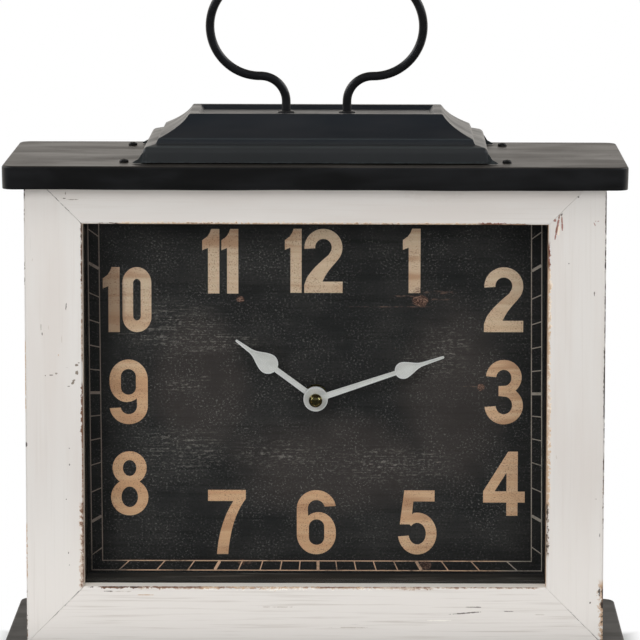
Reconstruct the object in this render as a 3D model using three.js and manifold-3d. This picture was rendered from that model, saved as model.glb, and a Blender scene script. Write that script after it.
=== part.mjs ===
// Table clock: a glazed, white wooden case between a pressed metal roof and base, with a wire
// handle on a stepped plinth, a printed dial and a battery movement with its gear trains.
// Millimetres, +Z up, the front faces -Y, and the origin is under the middle of the base.
import * as THREE from 'three';
import { mergeVertices } from 'three/addons/utils/BufferGeometryUtils.js';
import Module from 'manifold-3d';

const wasm = await Module();
wasm.setup();

// Clearances
const jointGap = 0.15; // between glued or butted pieces of wood
const seatGap = 0.2; // between a piece and what it rests on
const runningGap = 0.1; // radial, round everything that turns
const overrun = 1; // how far a cutting body runs past what it cuts
const overlap = 0.3; // how far joined bodies run into one another
const mergeTolerance = 1e-4;

// Wooden case
const frameWidth = 305;
const frameHeight = 254;
const caseDepth = 105;
const railWidth = 30.3;
const railThickness = 13;
const railEdgeBevel = 0.8;
const rebateWidth = 6.3;
const rebateDepth = 2.3;
const boardThickness = 12;
const glassThickness = 2;
const dialDepth = 37; // from the front of the frame to the printed face
const dialThickness = 3;
const dialCornerRadius = 3;
const backThickness = 3;
const backInset = 3;
const backCornerRadius = 3;
const accessWidth = 120;
const accessHeight = 112;
const accessRadius = 12;

// Pressed metal
const sheet = 1;
const trayCornerRadius = 7;
const trayInnerFold = 0.8;
const roofOverhang = 11;
const roofWidth = frameWidth + 2 * roofOverhang;
const roofDepth = caseDepth + 2 * roofOverhang;
const roofFlange = 12.3;
const baseOverhang = 12.3;
const baseWidth = frameWidth + 2 * baseOverhang;
const baseDepth = caseDepth + 2 * baseOverhang;
const baseSkirt = 20;
const baseHem = 17;
const plinthWidth = 182.6;
const plinthDepth = 105;
const plinthHeight = 24;
const plinthCornerRadius = 2.6;
const plinthRidgeRadius = 0.5;
const plinthBand = 5.5;
const shoulderInset = 3.2;
const shoulderHeight = 8.9;
const stepInset = 8.3;
const stepHeight = 9.9;
const riserInset = 9.5;
const riserHeight = 12.4;
const coveSag = 1.7;
const rimInset = 25.4;
const rimRound = 0.8;
const rimWidth = 5;
const recessDepth = 2.2;
const recessSlope = 1.4;
const earWidth = 4.4;
const earHeight = 4.2;
const earRoot = 4;
const earThickness = 0.8;

// Wire handle and what fastens it
const wireRadius = 2.15;
const footSpacing = 32.4;
const footBend = 13.7;
const loopRadius = 26.8;
const loopWidth = 114.4;
const handleHeight = 73.3; // from the panel to the middle of the top bar
const wireTail = 7;
const washerRadius = 4.3;
const washerThickness = 1.2;
const washerWallShare = 0.6;
const washerTopShare = 0.85;
const strapLength = 50;
const strapWidth = 13;
const strapThickness = 2.5;

// Fasteners and feet
const screwHeadRadius = 2.4;
const screwHeadHeight = 1.7;
const screwHeadWallShare = 0.45;
const screwHeadShoulderShares = [0.75, 0.87];
const screwShankRadius = 1.2;
const screwHoleRadius = 1.5;
const screwLength = 10;
const screwPoint = 2.4;
const crossLength = 2.9;
const crossWidth = 0.75;
const crossDepth = 0.8;
const roofScrewInsetX = 52; // from the end of the case to its roof screws
const roofScrewInsetY = 9.8;
const baseScrewInsetX = 42.5;
const baseScrewInsetFront = 24.5;
const baseScrewInsetBack = 11.5;
const backScrewFromEnd = 20;
const padRadius = 7;
const padThickness = 2;

// Hands
const handThickness = 0.8;
const handBevel = 0.2;
const hubRadius = 6.5;
const minuteHand = {
  length: 72,
  arm: 3.4,
  armEnd: 2.4,
  blob: 49.1,
  blobRadius: 4.5,
  neck: 61,
  neckWidth: 2,
  tipWidth: 1.3,
  clockAngle: 71.4,
};
const hourHand = {
  length: 52.8,
  arm: 3.1,
  armEnd: 2.9,
  blob: 31.5,
  blobRadius: 5.4,
  neck: 44.5,
  neckWidth: 2.2,
  tipWidth: 1.2,
  clockAngle: 306.4,
};
const bladeShoulder = 75.6; // degrees round the blade's circle where its long taper starts
const taperTangentShare = 0.42;
const capRadius = 3.55;
const capNeckRadius = 2.3;
const capReach = 3.6; // from the minute hand to the middle of the cap's ball

// Movement case, behind the dial
const movementSize = 56;
const movementDepth = 16;
const movementWall = 1.2;
const bushRadius = 3.9;
const bushReach = 9; // how far the threaded bush stands in front of the dial
const dialHoleRadius = 4.2;
const bushWasherRadius = 6.2;
const bushWasherThickness = 0.6;
const bushNutRadius = 6.3;
const bushNutHeight = 2.2;
const bayHeight = 16.3;
const batteryRadius = 7.1;
const batteryLength = 49.1;
const batteryNubRadius = 2.7;
const batteryNubLength = 1.4;
const batteryEdge = 0.5;
const contactThickness = 0.4;
const contactSize = 9;
const springWire = 0.3;
const springRadius = 3.6;
const springTopRadius = 2.2;
const springTurns = 2.5;

// Arbors
const arborRadius = 1.6;
const arborWaistRadius = 1;
const arborPivotRadius = 0.6;
const threadLength = 2.6;
const tubeRadius = 2.5;
const tubeGap = 0.12;
const handLift = 0.8; // from the bush to the hour hand, and past each hand's front
const handSpacing = 1.8;
const wheelArborRadius = 0.35;
const pivotDepth = 0.7;
const postRadius = 0.6;
const shoulderGap = 0.3;
const knobArborRadius = 0.9;
const knobRadius = 5;
const knobHeight = 4;
const knobLift = 0.6;
const knobRidge = 0.45;
const knobRidges = 18;

// Gear trains: module, tooth counts and thickness. Directions are angles seen from the front.
const motionModule = 0.4;
const hourModule = 0.32;
const cannonTeeth = 8;
const motionTeeth = 24;
const motionPinionTeeth = 8;
const hourTeeth = 32;
const knobTeeth = 8;
const centreTeeth = 45;
const thirdTeeth = 48;
const fourthTeeth = 36;
const fifthTeeth = 30;
const leafTeeth = 6;
const centreModule = 0.25;
const thirdModule = 0.2;
const fourthModule = 0.22;
const wheelThickness = 0.8;
const pinionThickness = 1.3;
const layerPitch = 1.9;
const pinionOverlap = (pinionThickness - wheelThickness) / 2;
const firstLayer = 0.6; // from the floor of the movement case to the first wheel
const motionDirection = 150;
const knobDirection = 118;
const thirdDirection = 25;
const fourthDirection = 60;
const fifthDirection = 10;
const rotorDirection = 70;
const addendumShare = 0.8;
const dedendumShare = 1.1;
const toothRootShare = 0.36;

// Stepping motor and circuit
const magnetRadius = 2.3;
const magnetLength = 3;
const statorThickness = 0.9;
const statorRing = 0.65;
const statorGap = 0.35;
const statorLegWidth = 3;
const statorBarWidth = 2.6;
const coreWidth = 2.6;
const coilRadius = 2.9;
const coilFlangeRadius = 3.4;
const coilFlange = 0.7;
const coilLength = 14;
const coilTopGap = 1;
const boardWidth = 17;
const boardHeight = 11;
const circuitThickness = 1;
const circuitPost = 2;
const circuitPostRadius = 1.2;
const circuitPostInset = 2.2;
const chipRadius = 2.6;
const chipHeight = 1.1;

// Fineness of round stretches
const roundSides = 24;
const smallSides = 12;
const wireSides = 8;
const wireSteps = 84;
const cornerSteps = 5;
const curveSteps = 5;
const springSides = 5;
const springStepsPerTurn = 9;

// Heights
const trayFold = trayInnerFold + sheet;
const roofScrewX = frameWidth / 2 - roofScrewInsetX;
const roofScrewFront = -caseDepth / 2 + roofScrewInsetY;
const roofScrewBack = caseDepth / 2 - roofScrewInsetY;
const baseScrewX = frameWidth / 2 - baseScrewInsetX;
const baseScrewFront = -caseDepth / 2 + baseScrewInsetFront;
const baseScrewBack = caseDepth / 2 - baseScrewInsetBack;
const baseBottom = padThickness + seatGap;
const baseTop = baseBottom + baseSkirt;
const frameBottom = baseTop + seatGap;
const frameTop = frameBottom + frameHeight;
const frameMiddle = (frameBottom + frameTop) / 2;
const roofTop = frameTop + seatGap + sheet;
const plinthBottom = roofTop + seatGap;
const rimTop = plinthBottom + plinthHeight;
const panelTop = rimTop - recessDepth;

// Depths, from the front to the back
const caseFront = -caseDepth / 2;
const railBack = caseFront + railThickness;
const caseBack = caseDepth / 2;
const boardFront = railBack + jointGap;
const boardBack = caseBack - backThickness - jointGap;
const glassFront = railBack - rebateDepth + jointGap;
const dialFront = caseFront + dialDepth;
const dialBack = dialFront + dialThickness;
const movementFront = dialBack + seatGap;
const movementBack = movementFront + movementDepth;
const floorBack = movementFront + movementWall;
const coverFront = movementBack - movementWall;
const bushFront = dialFront - bushReach;
const hourHandBack = bushFront - handLift;
const hourHandFront = hourHandBack - handThickness;
const tubeFront = hourHandFront - handLift / 2;
const minuteHandBack = hourHandFront - handSpacing;
const minuteHandFront = minuteHandBack - handThickness;
const threadFront = minuteHandFront - threadLength;

const openingHalfWidth = frameWidth / 2 - railWidth;
const openingHalfHeight = frameHeight / 2 - railWidth;
const insideHalfWidth = frameWidth / 2 - boardThickness;
const insideHalfHeight = frameHeight / 2 - boardThickness;
const bayTop = frameMiddle - movementSize / 2 + movementWall + bayHeight;
const gearFloor = bayTop + movementWall;

const tau = Math.PI * 2;
const radians = (degrees) => degrees * Math.PI / 180;

const clock = new THREE.Group();

function add(name, geometry, material) {
  const mesh = new THREE.Mesh(geometry, material);
  mesh.name = name;
  clock.add(mesh);
}

// Materials
function finish(color, roughness, metalness) {
  return new THREE.MeshStandardMaterial({ color, roughness, metalness });
}

const whitePaint = () => finish(0xd9d5cf, 0.75, 0);
const blackWood = () => finish(0x1f1e1d, 0.7, 0);
const dialPrint = () => finish(0x2b2a28, 0.75, 0);
const hardboard = () => finish(0x7a5a3c, 0.85, 0);
const blackMetal = () => finish(0x26282a, 0.45, 0.6);
const handPaint = () => finish(0xc8c9c8, 0.5, 0.2);
const brass = () => finish(0xb08d45, 0.3, 1);
const steel = () => finish(0x9a9c9e, 0.35, 1);
const blackPlastic = () => finish(0x1b1b1c, 0.5, 0);
const whitePlastic = () => finish(0xe4e2dc, 0.5, 0);
const rubber = () => finish(0x161616, 0.9, 0);
const copperWire = () => finish(0x9c5a2c, 0.4, 0.8);
const circuitBoard = () => finish(0x2c5a34, 0.6, 0);
const batteryWrap = () => finish(0x3c5f8a, 0.4, 0.2);

function glass() {
  const material = finish(0xdfe8e8, 0.05, 0);
  material.transparent = true;
  material.opacity = 0.3;
  return material;
}

// Solids and booleans
function bareGeometry(geometry) {
  const source = geometry.index ? geometry.toNonIndexed() : geometry;
  const bare = new THREE.BufferGeometry();
  bare.setAttribute('position', source.getAttribute('position'));
  return mergeVertices(bare, mergeTolerance);
}

function solidOf(geometry) {
  const merged = bareGeometry(geometry);
  return new wasm.Manifold(new wasm.Mesh({
    numProp: 3,
    vertProperties: merged.getAttribute('position').array,
    triVerts: new Uint32Array(merged.index.array),
  }));
}

function geometryOf(solid) {
  const mesh = solid.getMesh();
  const geometry = new THREE.BufferGeometry();
  geometry.setAttribute('position', new THREE.BufferAttribute(mesh.vertProperties, 3));
  geometry.setIndex(new THREE.BufferAttribute(mesh.triVerts, 1));
  geometry.computeVertexNormals();
  return geometry;
}

function cut(geometry, tools) {
  return geometryOf(tools.reduce((rest, tool) => rest.subtract(solidOf(tool)), solidOf(geometry)));
}

function join(geometries) {
  return geometryOf(geometries.map(solidOf).reduce((whole, piece) => whole.add(piece)));
}

// A profile may run either way round: this turns the faces outwards.
function facingOut(geometry) {
  const merged = bareGeometry(geometry);
  if (solidOf(geometry).volume() >= 0) return merged;
  const index = merged.index.array;
  for (let i = 0; i < index.length; i += 3) [index[i + 1], index[i + 2]] = [index[i + 2], index[i + 1]];
  return merged;
}

// Basic shapes in the clock's frame
function block(x0, x1, y0, y1, z0, z1) {
  const box = new THREE.BoxGeometry(x1 - x0, y1 - y0, z1 - z0);
  return box.translate((x0 + x1) / 2, (y0 + y1) / 2, (z0 + z1) / 2);
}

function rodY(radius, y0, y1, x = 0, z = frameMiddle, sides = roundSides) {
  return new THREE.CylinderGeometry(radius, radius, y1 - y0, sides).translate(x, (y0 + y1) / 2, z);
}

function rodZ(radius, z0, z1, x, y, sides = smallSides) {
  const rod = new THREE.CylinderGeometry(radius, radius, z1 - z0, sides).rotateX(Math.PI / 2);
  return rod.translate(x, y, (z0 + z1) / 2);
}

// A shape drawn as seen from the front, with thickness from y0 to y1.
function plateY(shape, y0, y1, steps = curveSteps) {
  const plate = new THREE.ExtrudeGeometry(shape, {
    depth: y1 - y0, bevelEnabled: false, curveSegments: steps,
  });
  return plate.rotateX(Math.PI / 2).translate(0, y1, 0);
}

function turned(profile, sides) {
  return facingOut(new THREE.LatheGeometry(profile.map(([r, h]) => new THREE.Vector2(r, h)), sides));
}

function rectangle(Outline, halfWidth, z0, z1, radius) {
  const outline = new Outline();
  outline.moveTo(-halfWidth + radius, z0);
  outline.lineTo(halfWidth - radius, z0);
  outline.absarc(halfWidth - radius, z0 + radius, radius, -Math.PI / 2, 0, false);
  outline.absarc(halfWidth - radius, z1 - radius, radius, 0, Math.PI / 2, false);
  outline.absarc(-halfWidth + radius, z1 - radius, radius, Math.PI / 2, Math.PI, false);
  outline.absarc(-halfWidth + radius, z0 + radius, radius, Math.PI, Math.PI * 1.5, false);
  return outline;
}

function hexagon(radius, z, bore) {
  const shape = new THREE.Shape();
  for (let i = 0; i < 6; i += 1) {
    const angle = i * tau / 6;
    shape[i ? 'lineTo' : 'moveTo'](radius * Math.cos(angle), z + radius * Math.sin(angle));
  }
  shape.holes.push(new THREE.Path().absarc(0, z, bore, 0, tau, true));
  return shape;
}

// Cross-head screw along +Z, with the underside of its head at zero.
function screw() {
  const body = turned([
    [0, -screwLength],
    [screwShankRadius, -screwLength + screwPoint],
    [screwShankRadius, 0],
    [screwHeadRadius, 0],
    [screwHeadRadius, screwHeadHeight * screwHeadWallShare],
    [screwHeadRadius * screwHeadShoulderShares[0], screwHeadHeight * screwHeadShoulderShares[1]],
    [0, screwHeadHeight],
  ], smallSides).rotateX(Math.PI / 2);
  const half = crossLength / 2;
  const slot = crossWidth / 2;
  const floor = screwHeadHeight - crossDepth;
  return cut(body, [
    block(-half, half, -slot, slot, floor, screwHeadHeight + overrun),
    block(-slot, slot, -half, half, floor, screwHeadHeight + overrun),
  ]);
}

const pilotRadius = screwShankRadius + runningGap;
const pilotDepth = screwLength + overrun;

// Case front: four rails with a rebate for the glass, mitred at the corners
function rail(length) {
  const section = new THREE.Shape();
  section.moveTo(railEdgeBevel, 0);
  section.lineTo(railWidth - railEdgeBevel, 0);
  section.lineTo(railWidth, railEdgeBevel);
  section.lineTo(railWidth, railThickness - rebateDepth);
  section.lineTo(railWidth - rebateWidth, railThickness - rebateDepth);
  section.lineTo(railWidth - rebateWidth, railThickness);
  section.lineTo(0, railThickness);
  section.lineTo(0, railEdgeBevel);
  const bar = new THREE.ExtrudeGeometry(section, { depth: length, bevelEnabled: false });
  bar.translate(0, 0, -length / 2);
  const position = bar.getAttribute('position');
  for (let i = 0; i < position.count; i += 1) {
    const end = Math.sign(position.getZ(i));
    position.setZ(i, end * (length / 2 - jointGap / 2 - position.getX(i)));
  }
  return bar;
}

function addRails() {
  const rails = [
    { name: 'rail_left', turn: 0, length: frameHeight, offset: frameWidth / 2 },
    { name: 'rail_bottom', turn: -90, length: frameWidth, offset: frameHeight / 2 },
    { name: 'rail_right', turn: 180, length: frameHeight, offset: frameWidth / 2 },
    { name: 'rail_top', turn: 90, length: frameWidth, offset: frameHeight / 2 },
  ];
  for (const { name, turn, length, offset } of rails) {
    let bar = rail(length).translate(-offset, caseFront, 0);
    bar = bar.rotateY(radians(turn)).translate(0, 0, frameMiddle);
    if (name === 'rail_top') {
      bar = cut(bar, [-1, 1].map((side) => rodZ(
        pilotRadius, frameTop - pilotDepth, frameTop + overrun, side * roofScrewX, roofScrewFront,
      )));
    }
    add(name, bar, whitePaint());
  }
}

// Case sides, top and bottom, behind the rails
function addCaseBoards() {
  const halfWidth = frameWidth / 2;
  for (const [name, side] of [['case_left', -1], ['case_right', 1]]) {
    const inner = side * insideHalfWidth;
    const outer = side * halfWidth;
    const board = block(
      Math.min(inner, outer), Math.max(inner, outer), boardFront, boardBack, frameBottom, frameTop,
    );
    const screwX = (inner + outer) / 2;
    const pilots = backScrewHeights.map((z) => rodY(
      pilotRadius, boardBack - pilotDepth, boardBack + overrun, screwX, z, smallSides,
    ));
    add(name, cut(board, pilots), whitePaint());
  }
  const topPilots = [-1, 1].map((side) => rodZ(
    pilotRadius, frameTop - pilotDepth, frameTop + overrun, side * roofScrewX, roofScrewBack,
  ));
  const bottomPilots = baseScrewPlaces.map(([x, y]) => rodZ(
    pilotRadius, frameBottom - overrun, frameBottom + pilotDepth, x, y,
  ));
  const between = insideHalfWidth - jointGap;
  const top = block(-between, between, boardFront, boardBack, frameTop - boardThickness, frameTop);
  const bottom = block(-between, between, boardFront, boardBack, frameBottom, frameBottom + boardThickness);
  add('case_top', cut(top, topPilots), whitePaint());
  add('case_bottom', cut(bottom, bottomPilots), whitePaint());
}

const backScrewHeights = [frameBottom + backScrewFromEnd, frameTop - backScrewFromEnd];
const backScrewX = frameWidth / 2 - boardThickness / 2;
const baseScrewPlaces = [-1, 1].flatMap((side) => [baseScrewFront, baseScrewBack].map(
  (y) => [side * baseScrewX, y],
));
const roofScrewPlaces = [-1, 1].flatMap((side) => [roofScrewFront, roofScrewBack].map(
  (y) => [side * roofScrewX, y],
));

// Black battens that line the shadow box, clamp the glass and carry the dial
function addBattens() {
  const front = boardFront;
  const back = dialFront - seatGap;
  const outX = insideHalfWidth - jointGap;
  const outZ = insideHalfHeight - jointGap;
  for (const [name, side] of [['batten_bottom', -1], ['batten_top', 1]]) {
    const z = [frameMiddle + side * openingHalfHeight, frameMiddle + side * outZ];
    add(name, block(-outX, outX, front, back, Math.min(...z), Math.max(...z)), blackWood());
  }
  const reach = openingHalfHeight - jointGap;
  for (const [name, side] of [['batten_left', -1], ['batten_right', 1]]) {
    const x = [side * openingHalfWidth, side * outX];
    add(name, block(
      Math.min(...x), Math.max(...x), front, back, frameMiddle - reach, frameMiddle + reach,
    ), blackWood());
  }
}

function addGlass() {
  const halfWidth = openingHalfWidth + rebateWidth - seatGap;
  const halfHeight = openingHalfHeight + rebateWidth - seatGap;
  add('glass_pane', block(
    -halfWidth, halfWidth, glassFront, glassFront + glassThickness,
    frameMiddle - halfHeight, frameMiddle + halfHeight,
  ), glass());
}

function addDial() {
  const halfWidth = insideHalfWidth - jointGap;
  const halfHeight = insideHalfHeight - jointGap;
  const face = rectangle(
    THREE.Shape, halfWidth, frameMiddle - halfHeight, frameMiddle + halfHeight, dialCornerRadius,
  );
  face.holes.push(new THREE.Path().absarc(0, frameMiddle, dialHoleRadius, 0, tau, true));
  add('dial_board', plateY(face, dialFront, dialBack), dialPrint());
}

function addBackPanel() {
  const panel = rectangle(
    THREE.Shape, frameWidth / 2 - backInset, frameBottom + backInset, frameTop - backInset,
    backCornerRadius,
  );
  panel.holes.push(rectangle(
    THREE.Path, accessWidth / 2, frameMiddle - accessHeight / 2, frameMiddle + accessHeight / 2,
    accessRadius,
  ));
  for (const side of [-1, 1]) {
    for (const z of backScrewHeights) {
      panel.holes.push(new THREE.Path().absarc(side * backScrewX, z, screwHoleRadius, 0, tau, true));
    }
  }
  add('back_panel', plateY(panel, caseBack - backThickness, caseBack), hardboard());
}

function addScrews() {
  const lift = seatGap / 2;
  roofScrewPlaces.forEach(([x, y], i) => {
    add(`roof_screw_${i + 1}`, screw().translate(x, y, roofTop + lift), blackMetal());
  });
  baseScrewPlaces.forEach(([x, y], i) => {
    const up = screw().rotateX(Math.PI).translate(x, y, baseTop - sheet - lift);
    add(`base_screw_${i + 1}`, up, steel());
  });
  const places = [-1, 1].flatMap((side) => backScrewHeights.map((z) => [side * backScrewX, z]));
  places.forEach(([x, z], i) => {
    const inward = screw().rotateX(-Math.PI / 2).translate(x, caseBack + lift, z);
    add(`back_screw_${i + 1}`, inward, steel());
  });
}

// Pressed sheet: a turned profile whose four quarters are drawn apart into a rectangle with round
// corners. A ring gives half width, half depth, corner radius and height, from middle to middle.
function pressing(rings) {
  const segments = cornerSteps * 4;
  const profile = rings.map(({ radius, z }) => new THREE.Vector2(radius, z));
  const geometry = new THREE.LatheGeometry(profile, segments);
  const position = geometry.getAttribute('position');
  for (let i = 0; i <= segments; i += 1) {
    const quarter = Math.floor((i % segments) / cornerSteps);
    const angle = (quarter + (i % cornerSteps) / (cornerSteps - 1)) * Math.PI / 2;
    const towardsX = quarter < 2 ? 1 : -1;
    const towardsY = quarter === 1 || quarter === 2 ? 1 : -1;
    rings.forEach(({ halfX, halfY, radius, z }, j) => position.setXYZ(
      i * rings.length + j,
      radius * Math.sin(angle) + towardsX * (halfX - radius),
      -radius * Math.cos(angle) + towardsY * (halfY - radius),
      z,
    ));
  }
  return facingOut(geometry);
}

const middle = (z) => ({ halfX: 0, halfY: 0, radius: 0, z });

// Flat tray with its flange turned down, and a hem turned in where it has one
function tray({ width, depth, top, drop, hem }) {
  const ring = (inset, z) => ({
    halfX: width / 2 - inset,
    halfY: depth / 2 - inset,
    radius: Math.max(trayCornerRadius - inset, sheet),
    z,
  });
  const bottom = top - drop;
  const rings = [middle(top)];
  for (let i = 0; i <= curveSteps; i += 1) {
    const angle = i / curveSteps * Math.PI / 2;
    rings.push(ring(trayFold * (1 - Math.sin(angle)), top - trayFold * (1 - Math.cos(angle))));
  }
  rings.push(ring(0, bottom));
  if (hem) rings.push(ring(hem, bottom), ring(hem, bottom + sheet), ring(sheet, bottom + sheet));
  else rings.push(ring(sheet, bottom));
  rings.push(ring(sheet, top - trayFold));
  rings.push(ring(trayFold, top - sheet));
  rings.push(middle(top - sheet));
  return pressing(rings);
}

function addRoofTray() {
  const plate = tray({ width: roofWidth, depth: roofDepth, top: roofTop, drop: roofFlange });
  const holes = roofScrewPlaces.map(([x, y]) => rodZ(
    screwHoleRadius, roofTop - sheet - overrun, roofTop + overrun, x, y,
  ));
  add('roof_tray', cut(plate, holes), blackMetal());
}

function addBaseTray() {
  const plate = tray({ width: baseWidth, depth: baseDepth, top: baseTop, drop: baseSkirt, hem: baseHem });
  const holes = baseScrewPlaces.map(([x, y]) => rodZ(
    screwHoleRadius, baseTop - sheet - overrun, baseTop + overrun, x, y,
  ));
  add('base_tray', cut(plate, holes), blackMetal());
}

// Stepped plinth under the handle: band, shoulder, riser, cove, rim and sunk panel
function curveBetween(start, control, end, steps) {
  const curve = new THREE.QuadraticBezierCurve(
    new THREE.Vector2(...start), new THREE.Vector2(...control), new THREE.Vector2(...end),
  );
  return curve.getPoints(steps).map((point) => [point.x, point.y]);
}

function plinthOutline() {
  const coveStart = [riserInset, riserHeight];
  const coveEnd = [rimInset, plinthHeight - rimRound];
  const run = coveEnd[0] - coveStart[0];
  const rise = coveEnd[1] - coveStart[1];
  const length = Math.hypot(run, rise);
  const coveControl = [
    (coveStart[0] + coveEnd[0]) / 2 + 2 * coveSag * rise / length,
    (coveStart[1] + coveEnd[1]) / 2 - 2 * coveSag * run / length,
  ];
  const rimEnd = rimInset + rimWidth;
  return [
    [0, 0],
    ...curveBetween([0, plinthBand], [0, shoulderHeight], [shoulderInset, shoulderHeight], curveSteps),
    [stepInset, stepHeight],
    ...curveBetween(coveStart, coveControl, coveEnd, curveSteps + 1),
    [rimInset + rimRound, plinthHeight],
    [rimEnd - rimRound, plinthHeight],
    [rimEnd, plinthHeight - rimRound],
    [rimEnd + recessSlope, plinthHeight - recessDepth],
  ];
}

// The same outline, moved inwards by the thickness of the sheet
function insideOf(outline) {
  return outline.map(([inset, height], i) => {
    const before = outline[Math.max(i - 1, 0)];
    const after = outline[Math.min(i + 1, outline.length - 1)];
    const run = after[0] - before[0];
    const rise = after[1] - before[1];
    const length = Math.hypot(run, rise);
    if (i === 0) return [inset + sheet, height];
    if (i === outline.length - 1) return [inset, height - sheet];
    return [inset + sheet * rise / length, height - sheet * run / length];
  });
}

function addPlinth() {
  const ring = ([inset, height]) => ({
    halfX: plinthWidth / 2 - inset,
    halfY: plinthDepth / 2 - inset,
    radius: Math.max(plinthCornerRadius - inset, plinthRidgeRadius),
    z: plinthBottom + height,
  });
  const outline = plinthOutline();
  const rings = [
    middle(panelTop),
    ...outline.toReversed().map(ring),
    ...insideOf(outline).map(ring),
    middle(panelTop - sheet),
  ];
  const ears = [-1, 1].flatMap((sideX) => [-1, 1].map((sideY) => {
    const edge = plinthWidth / 2;
    const ear = new THREE.Shape();
    ear.moveTo(sideX * (edge - earRoot), plinthBottom);
    ear.lineTo(sideX * (edge + earWidth), plinthBottom);
    ear.lineTo(sideX * (edge - sheet), plinthBottom + earHeight);
    ear.lineTo(sideX * (edge - earRoot), plinthBottom + earHeight);
    const outer = sideY * plinthDepth / 2;
    const inner = outer - sideY * earThickness;
    return plateY(ear, Math.min(outer, inner), Math.max(outer, inner));
  }));
  const holes = [-1, 1].map((side) => rodZ(
    wireRadius + jointGap, panelTop - sheet - overrun, panelTop + overrun,
    side * footSpacing / 2, 0, roundSides,
  ));
  add('plinth', cut(join([pressing(rings), ...ears]), holes), blackMetal());
}

// Wire handle: each foot rises, bends outwards and runs round a large loop to the top bar
class WireLine extends THREE.Curve {
  constructor(path) {
    super();
    this.path = path;
  }

  getPoint(t) {
    const point = this.path.getPoint(t);
    return new THREE.Vector3(point.x, 0, point.y);
  }
}

function handlePath() {
  const foot = footSpacing / 2;
  const loopX = loopWidth / 2 - loopRadius;
  const topZ = panelTop + handleHeight;
  const loopZ = topZ - loopRadius;
  const lowZ = loopZ - loopRadius;
  const path = new THREE.Path();
  path.moveTo(foot, panelTop - wireTail);
  path.lineTo(foot, lowZ - footBend);
  path.absarc(foot + footBend, lowZ - footBend, footBend, Math.PI, Math.PI / 2, true);
  path.absarc(loopX, loopZ, loopRadius, -Math.PI / 2, Math.PI / 2, false);
  path.absarc(-loopX, loopZ, loopRadius, Math.PI / 2, Math.PI * 1.5, false);
  path.absarc(-foot - footBend, lowZ - footBend, footBend, Math.PI / 2, 0, true);
  path.lineTo(-foot, panelTop - wireTail);
  return path;
}

function addHandle() {
  const section = new THREE.Shape().absarc(0, 0, wireRadius, 0, tau, false);
  const wire = new THREE.ExtrudeGeometry(section, {
    steps: wireSteps, extrudePath: new WireLine(handlePath()), curveSegments: wireSides,
  });
  add('handle_wire', facingOut(wire), blackMetal());
  const bore = wireRadius + jointGap;
  for (const [name, side] of [['left', -1], ['right', 1]]) {
    const x = side * footSpacing / 2;
    const washer = turned([
      [bore, 0],
      [washerRadius, 0],
      [washerRadius, washerThickness * washerWallShare],
      [washerRadius * washerTopShare, washerThickness],
      [bore, washerThickness],
      [bore, 0],
    ], roundSides).rotateX(Math.PI / 2).translate(x, 0, panelTop + seatGap / 2);
    add(`handle_washer_${name}`, washer, blackMetal());
  }
  const under = panelTop - sheet - seatGap;
  const strap = block(
    -strapLength / 2, strapLength / 2, -strapWidth / 2, strapWidth / 2, under - strapThickness, under,
  );
  const holes = [-1, 1].map((side) => rodZ(
    bore, under - strapThickness - overrun, under + overrun, side * footSpacing / 2, 0, roundSides,
  ));
  add('handle_strap', cut(strap, holes), steel());
}

function addFootPads() {
  const inset = sheet + (baseHem - sheet) / 2;
  const places = [-1, 1].flatMap((sideX) => [-1, 1].map((sideY) => [
    sideX * (baseWidth / 2 - inset), sideY * (baseDepth / 2 - inset),
  ]));
  places.forEach(([x, y], i) => {
    add(`foot_pad_${i + 1}`, rodZ(padRadius, 0, padThickness, x, y, roundSides), rubber());
  });
}

// Hands: round hub, straight arm, drop-shaped blade and a fine blunt tip
function handShape({ length, arm, armEnd, blob, blobRadius, neck, neckWidth, tipWidth }, bore) {
  const shape = new THREE.Shape();
  const hubAngle = Math.asin(arm / 2 / hubRadius);
  const blobAngle = Math.asin(armEnd / 2 / blobRadius);
  const shoulder = radians(bladeShoulder);
  const shoulderX = blobRadius * Math.sin(shoulder);
  const shoulderY = blob + blobRadius * Math.cos(shoulder);
  const tangent = (neck - shoulderY) * taperTangentShare;
  shape.absarc(0, 0, hubRadius, Math.PI / 2 + hubAngle, Math.PI * 2.5 - hubAngle, false);
  shape.absarc(0, blob, blobRadius, -Math.PI / 2 + blobAngle, Math.PI / 2 - shoulder, false);
  shape.bezierCurveTo(
    shoulderX - tangent * Math.cos(shoulder), shoulderY + tangent * Math.sin(shoulder),
    neckWidth / 2, neck - tangent, neckWidth / 2, neck,
  );
  shape.lineTo(tipWidth / 2, length - tipWidth / 2);
  shape.absarc(0, length - tipWidth / 2, tipWidth / 2, 0, Math.PI, false);
  shape.lineTo(-neckWidth / 2, neck);
  shape.bezierCurveTo(
    -neckWidth / 2, neck - tangent,
    -shoulderX + tangent * Math.cos(shoulder), shoulderY + tangent * Math.sin(shoulder),
    -shoulderX, shoulderY,
  );
  shape.absarc(0, blob, blobRadius, Math.PI / 2 + shoulder, Math.PI * 1.5 - blobAngle, false);
  shape.holes.push(new THREE.Path().absarc(0, 0, bore, 0, tau, true));
  return shape;
}

function hand(spec, bore, back) {
  const plate = new THREE.ExtrudeGeometry(handShape(spec, bore), {
    depth: handThickness - 2 * handBevel,
    bevelThickness: handBevel,
    bevelSize: handBevel,
    bevelOffset: -handBevel,
    bevelSegments: 1,
    curveSegments: smallSides,
  });
  plate.rotateX(Math.PI / 2).translate(0, back - handBevel, 0);
  return facingOut(plate.rotateY(radians(spec.clockAngle)).translate(0, 0, frameMiddle));
}

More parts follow.
